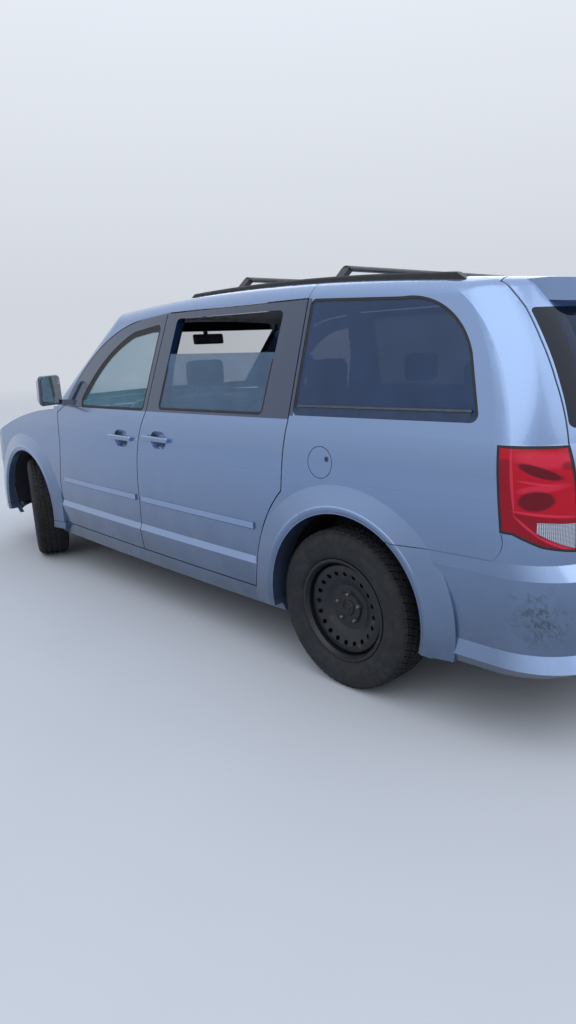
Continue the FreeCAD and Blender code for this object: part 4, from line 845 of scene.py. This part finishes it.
def strip(name, loop, width, rise, body, material, slot, keep=lambda point: True):
    """A flat band lying on a pane, from its outline inwards."""
    shape = bmesh.new()
    count = len(loop)
    centre = sum((point for point, _ in loop), Vector()) / count
    rows = []
    for i, (point, normal) in enumerate(loop):
        along = (loop[(i + 1) % count][0] - loop[i - 1][0]).normalized()
        inside = normal.cross(along)
        if inside.dot(centre - point) < 0:
            inside.negate()
        lift = normal * rise
        section = (lift * 0.2 - inside * 0.0015, lift, lift + inside * width,
                   inside * (width + rise * 0.6) + lift * 0.2)
        rows.append((point, [shape.verts.new(point + offset) for offset in section]))
    for i in range(count):
        here, after = rows[i], rows[(i + 1) % count]
        if not (keep(here[0]) and keep(after[0])):
            continue
        for k in range(3):
            shape.faces.new((here[1][k], after[1][k], after[1][k + 1], here[1][k + 1]))
    bmesh.ops.delete(shape, geom=[v for v in shape.verts if not v.link_faces], context="VERTS")
    return from_bmesh(name, shape, body, material, slot)


def seal_panes():
    """Dark borders on the side panes, the quarter window's sill and track, and the tail lamps' gaskets."""
    for side, sign in SIDES.items():
        out = (0, sign, 0.25)
        for loop in rim_loops("side_glass", out):
            middle = sum((point for point, _ in loop), Vector()) / len(loop)
            if middle.y * sign < 0:
                continue
            if middle.x > SLIDING_PANE_X:
                top = WOUND_DOWN_TOP if sign > 0 else NO_TOP
                strip("slide_seal_" + side, loop, 0.010, 0.0022, "root", SEAL, "black_trim",
                      keep=lambda point: point.z < top)
                continue
            foot = min(point.z for point, _ in loop)
            strip("quarter_seal_" + side, loop, 0.011, 0.0022, "root", SEAL, "black_trim")
            strip("quarter_sill_" + side, loop, 0.034, 0.0026, "root", GLOSS_BLACK, "black_trim",
                  keep=lambda point: point.z < foot + 0.03)
            raised = [(point + Vector((0, -sign * 0.006, TRACK_LIFT)), normal) for point, normal in loop]
            strip("quarter_track_" + side, raised, 0.007, 0.0035, "root", TRACK, "black_trim",
                  keep=lambda point: point.z < foot + TRACK_LIFT + 0.03 and -2.05 < point.x < SLIDING_PANE_X)
        front = max(rim_loops("front_%s_glass" % side, out), key=len)
        body = "front_%s_door_body" % side
        lamps = rim_loops("tail_lamps", (-0.7, sign * 0.7, 0))
        lamp_rim = max((loop for loop in lamps if loop[0][0].y * sign > 0), key=len)
        strip("lamp_gasket_" + side, lamp_rim, 0.0055, 0.0016, "root", SEAL, "black_trim")
        strip("front_seal_" + side, front, 0.012, 0.0022, body, SEAL, "black_trim")
        strip("front_run_" + side, front, 0.034, 0.0016, body, SEAL, "black_trim",
              keep=lambda point: point.z > RUN_Z[0 if point.x > RUN_X else 1])


seal_panes()


# Small fittings
def key_lock():
    """The driver door's key cylinder beside its handle."""
    shape = bmesh.new()
    place = Matrix.Translation((0.045, 0.9655, 1.004)) @ Matrix.Rotation(-math.pi / 2, 4, "X")
    lathe(shape, [(-0.006, 0.0), (-0.006, 0.0125), (0.0025, 0.0125), (0.0040, 0.0105), (0.0040, 0.0035),
                  (0.0020, 0.0030), (0.0020, 0.0)], place, 32)
    from_bmesh("key_lock", shape, "front_left_door_body", CHROME, "black_trim")


def rear_view_mirror():
    """The inside mirror on its stalk behind the windscreen."""
    shape = bmesh.new()
    tilt = Matrix.Translation((0.60, 0.0, 1.545)) @ Matrix.Rotation(math.radians(8), 4, "Y")
    rounded_block(shape, (-0.014, -0.125, -0.034), (0.014, 0.125, 0.034), 0.012, tilt)
    rounded_block(shape, (0.010, -0.012, -0.004), (0.036, 0.012, 0.062), 0.005, tilt)
    from_bmesh("inside_mirror", shape, "root", CABIN, "interior_plastic")


def instruments():
    """Hooded dials, centre vents and screen on the dashboard."""
    shape = bmesh.new()
    rounded_block(shape, (0.930, 0.250, 1.070), (1.075, 0.550, 1.132), 0.022)
    rounded_block(shape, (0.936, -0.135, 0.905), (0.958, 0.135, 1.045), 0.008)
    for y in (-0.66, -0.19, 0.19, 0.66):
        rounded_block(shape, (0.928, y - 0.045, 1.010), (0.970, y + 0.045, 1.060), 0.008)
    from_bmesh("instruments", shape, "root", GLOSS_BLACK, "interior_plastic")


def plate_screws():
    """Two screw heads in the plate recess."""
    shape = bmesh.new()
    for y in (-PLATE_SCREW_Y, PLATE_SCREW_Y):
        place = Matrix.Translation((RECESS_X, y, PLATE_SCREW_Z)) @ Matrix.Rotation(-math.pi / 2, 4, "Y")
        lathe(shape, [(-0.004, 0.0), (-0.004, 0.0030), (0.0002, 0.0030), (0.0002, 0.0062), (0.0022, 0.0058),
                      (0.0034, 0.0030), (0.0036, 0.0)], place, 24)
    from_bmesh("plate_screws", shape, "liftgate_body", CHROME, "black_trim")


key_lock()
rear_view_mirror()
instruments()
plate_screws()


# Stage, light and camera
CAMERA_PLACE = Vector((-3.418, 3.038, 1.522))
CAMERA_TURNS = [math.radians(angle) for angle in (42.85, 13.79, 2.15)]  # yaw, pitch, roll
FOCAL_PIXELS, PHOTO_HEIGHT, SENSOR = 702.5, 1024, 36.0


def camera():
    """The photograph's viewpoint, behind the van on its left, rolled a little."""
    yaw, pitch, roll = CAMERA_TURNS
    ahead = Vector((math.cos(yaw) * math.cos(pitch), -math.sin(yaw) * math.cos(pitch),
                    -math.sin(pitch)))
    right = Vector((-math.sin(yaw), -math.cos(yaw), 0))
    down = ahead.cross(right)
    across = math.cos(roll) * right + math.sin(roll) * down
    below = -math.sin(roll) * right + math.cos(roll) * down
    data = bpy.data.cameras.new("camera")
    data.sensor_width = SENSOR
    data.lens = FOCAL_PIXELS / PHOTO_HEIGHT * SENSOR
    data.clip_end = 200
    item = bpy.data.objects.new("camera", data)
    turn = Matrix((across, -below, -ahead)).transposed().to_4x4()
    item.matrix_world = Matrix.Translation(CAMERA_PLACE) @ turn
    bpy.context.scene.collection.objects.link(item)
    bpy.context.scene.camera = item


def floor():
    """A wide pale floor whose far part takes the backdrop's colour."""
    shape = bmesh.new()
    bmesh.ops.create_grid(shape, x_segments=8, y_segments=8, size=150.0)
    mesh = bpy.data.meshes.new("floor")
    shape.to_mesh(mesh)
    shape.free()
    item = bpy.data.objects.new("floor", mesh)
    bpy.context.scene.collection.objects.link(item)
    shade = Shade("floor", Roughness=0.9, Specular_IOR_Level=0.1)
    shade.set("Base Color", shade.mix(shade.spread(shade.noise(1.2, 4.0), 0.3, 0.7), FLOOR,
                                      tuple(c * 0.97 for c in FLOOR)))
    reach = shade.node("ShaderNodeVectorMath")
    reach.operation = "LENGTH"
    shade.link(shade.place, reach.inputs[0])
    path = shade.node("ShaderNodeLightPath").outputs
    seen = shade.maths("MAXIMUM", path["Is Camera Ray"],
                       shade.maths("MAXIMUM", path["Is Glossy Ray"], path["Is Transmission Ray"]))
    far = shade.product([shade.spread(reach.outputs["Value"], 6.0, 26.0), seen])
    glow = shade.node("ShaderNodeEmission")
    glow.inputs["Color"].default_value = (*BACKDROP, 1.0)
    blend = shade.node("ShaderNodeMixShader")
    shade.link(far, blend.inputs["Fac"])
    shade.link(shade.shader.outputs["BSDF"], blend.inputs[1])
    shade.link(glow.outputs["Emission"], blend.inputs[2])
    out = next(n for n in shade.tree.nodes if n.bl_idname == "ShaderNodeOutputMaterial")
    shade.link(blend.outputs["Shader"], out.inputs["Surface"])
    mesh.materials.append(shade.material)


def lamp(name, place, aim, size, power, colour):
    data = bpy.data.lights.new(name, "AREA")
    data.shape = "DISK"
    data.size = size
    data.energy = power
    data.color = colour
    item = bpy.data.objects.new(name, data)
    item.location = place
    item.rotation_euler = (Vector(aim) - Vector(place)).to_track_quat("-Z", "Y").to_euler()
    bpy.context.scene.collection.objects.link(item)


def sky():
    """One pale dome, the backdrop at the horizon and brighter overhead."""
    world = bpy.data.worlds.new("studio")
    bpy.context.scene.world = world
    world.use_nodes = True
    tree = world.node_tree
    tree.nodes.clear()
    place = tree.nodes.new("ShaderNodeTexCoord")
    split = tree.nodes.new("ShaderNodeSeparateXYZ")
    dome = tree.nodes.new("ShaderNodeMapRange")
    for name, number in (("From Min", 0.05), ("From Max", 0.85), ("To Min", 1.0), ("To Max", OVERHEAD)):
        dome.inputs[name].default_value = number
    light = tree.nodes.new("ShaderNodeBackground")
    light.inputs["Color"].default_value = (*BACKDROP, 1.0)
    out = tree.nodes.new("ShaderNodeOutputWorld")
    tree.links.new(place.outputs["Generated"], split.inputs["Vector"])
    tree.links.new(split.outputs["Z"], dome.inputs["Value"])
    tree.links.new(dome.outputs["Result"], light.inputs["Strength"])
    tree.links.new(light.outputs["Background"], out.inputs["Surface"])


camera()
floor()
sky()
lamp("key", (-4.0, 7.5, 10.5), (-0.5, 0.3, 0.8), 15.0, 560.0, (0.96, 0.98, 1.0))
lamp("fill", (6.0, -8.0, 9.5), (0.5, -0.3, 0.8), 13.0, 380.0, (0.95, 0.97, 1.0))
lamp("rear", (-11.0, -2.0, 8.0), (-1.5, 0.0, 0.8), 12.0, 260.0, (0.97, 0.98, 1.0))
bpy.context.scene.view_settings.view_transform = "Standard"
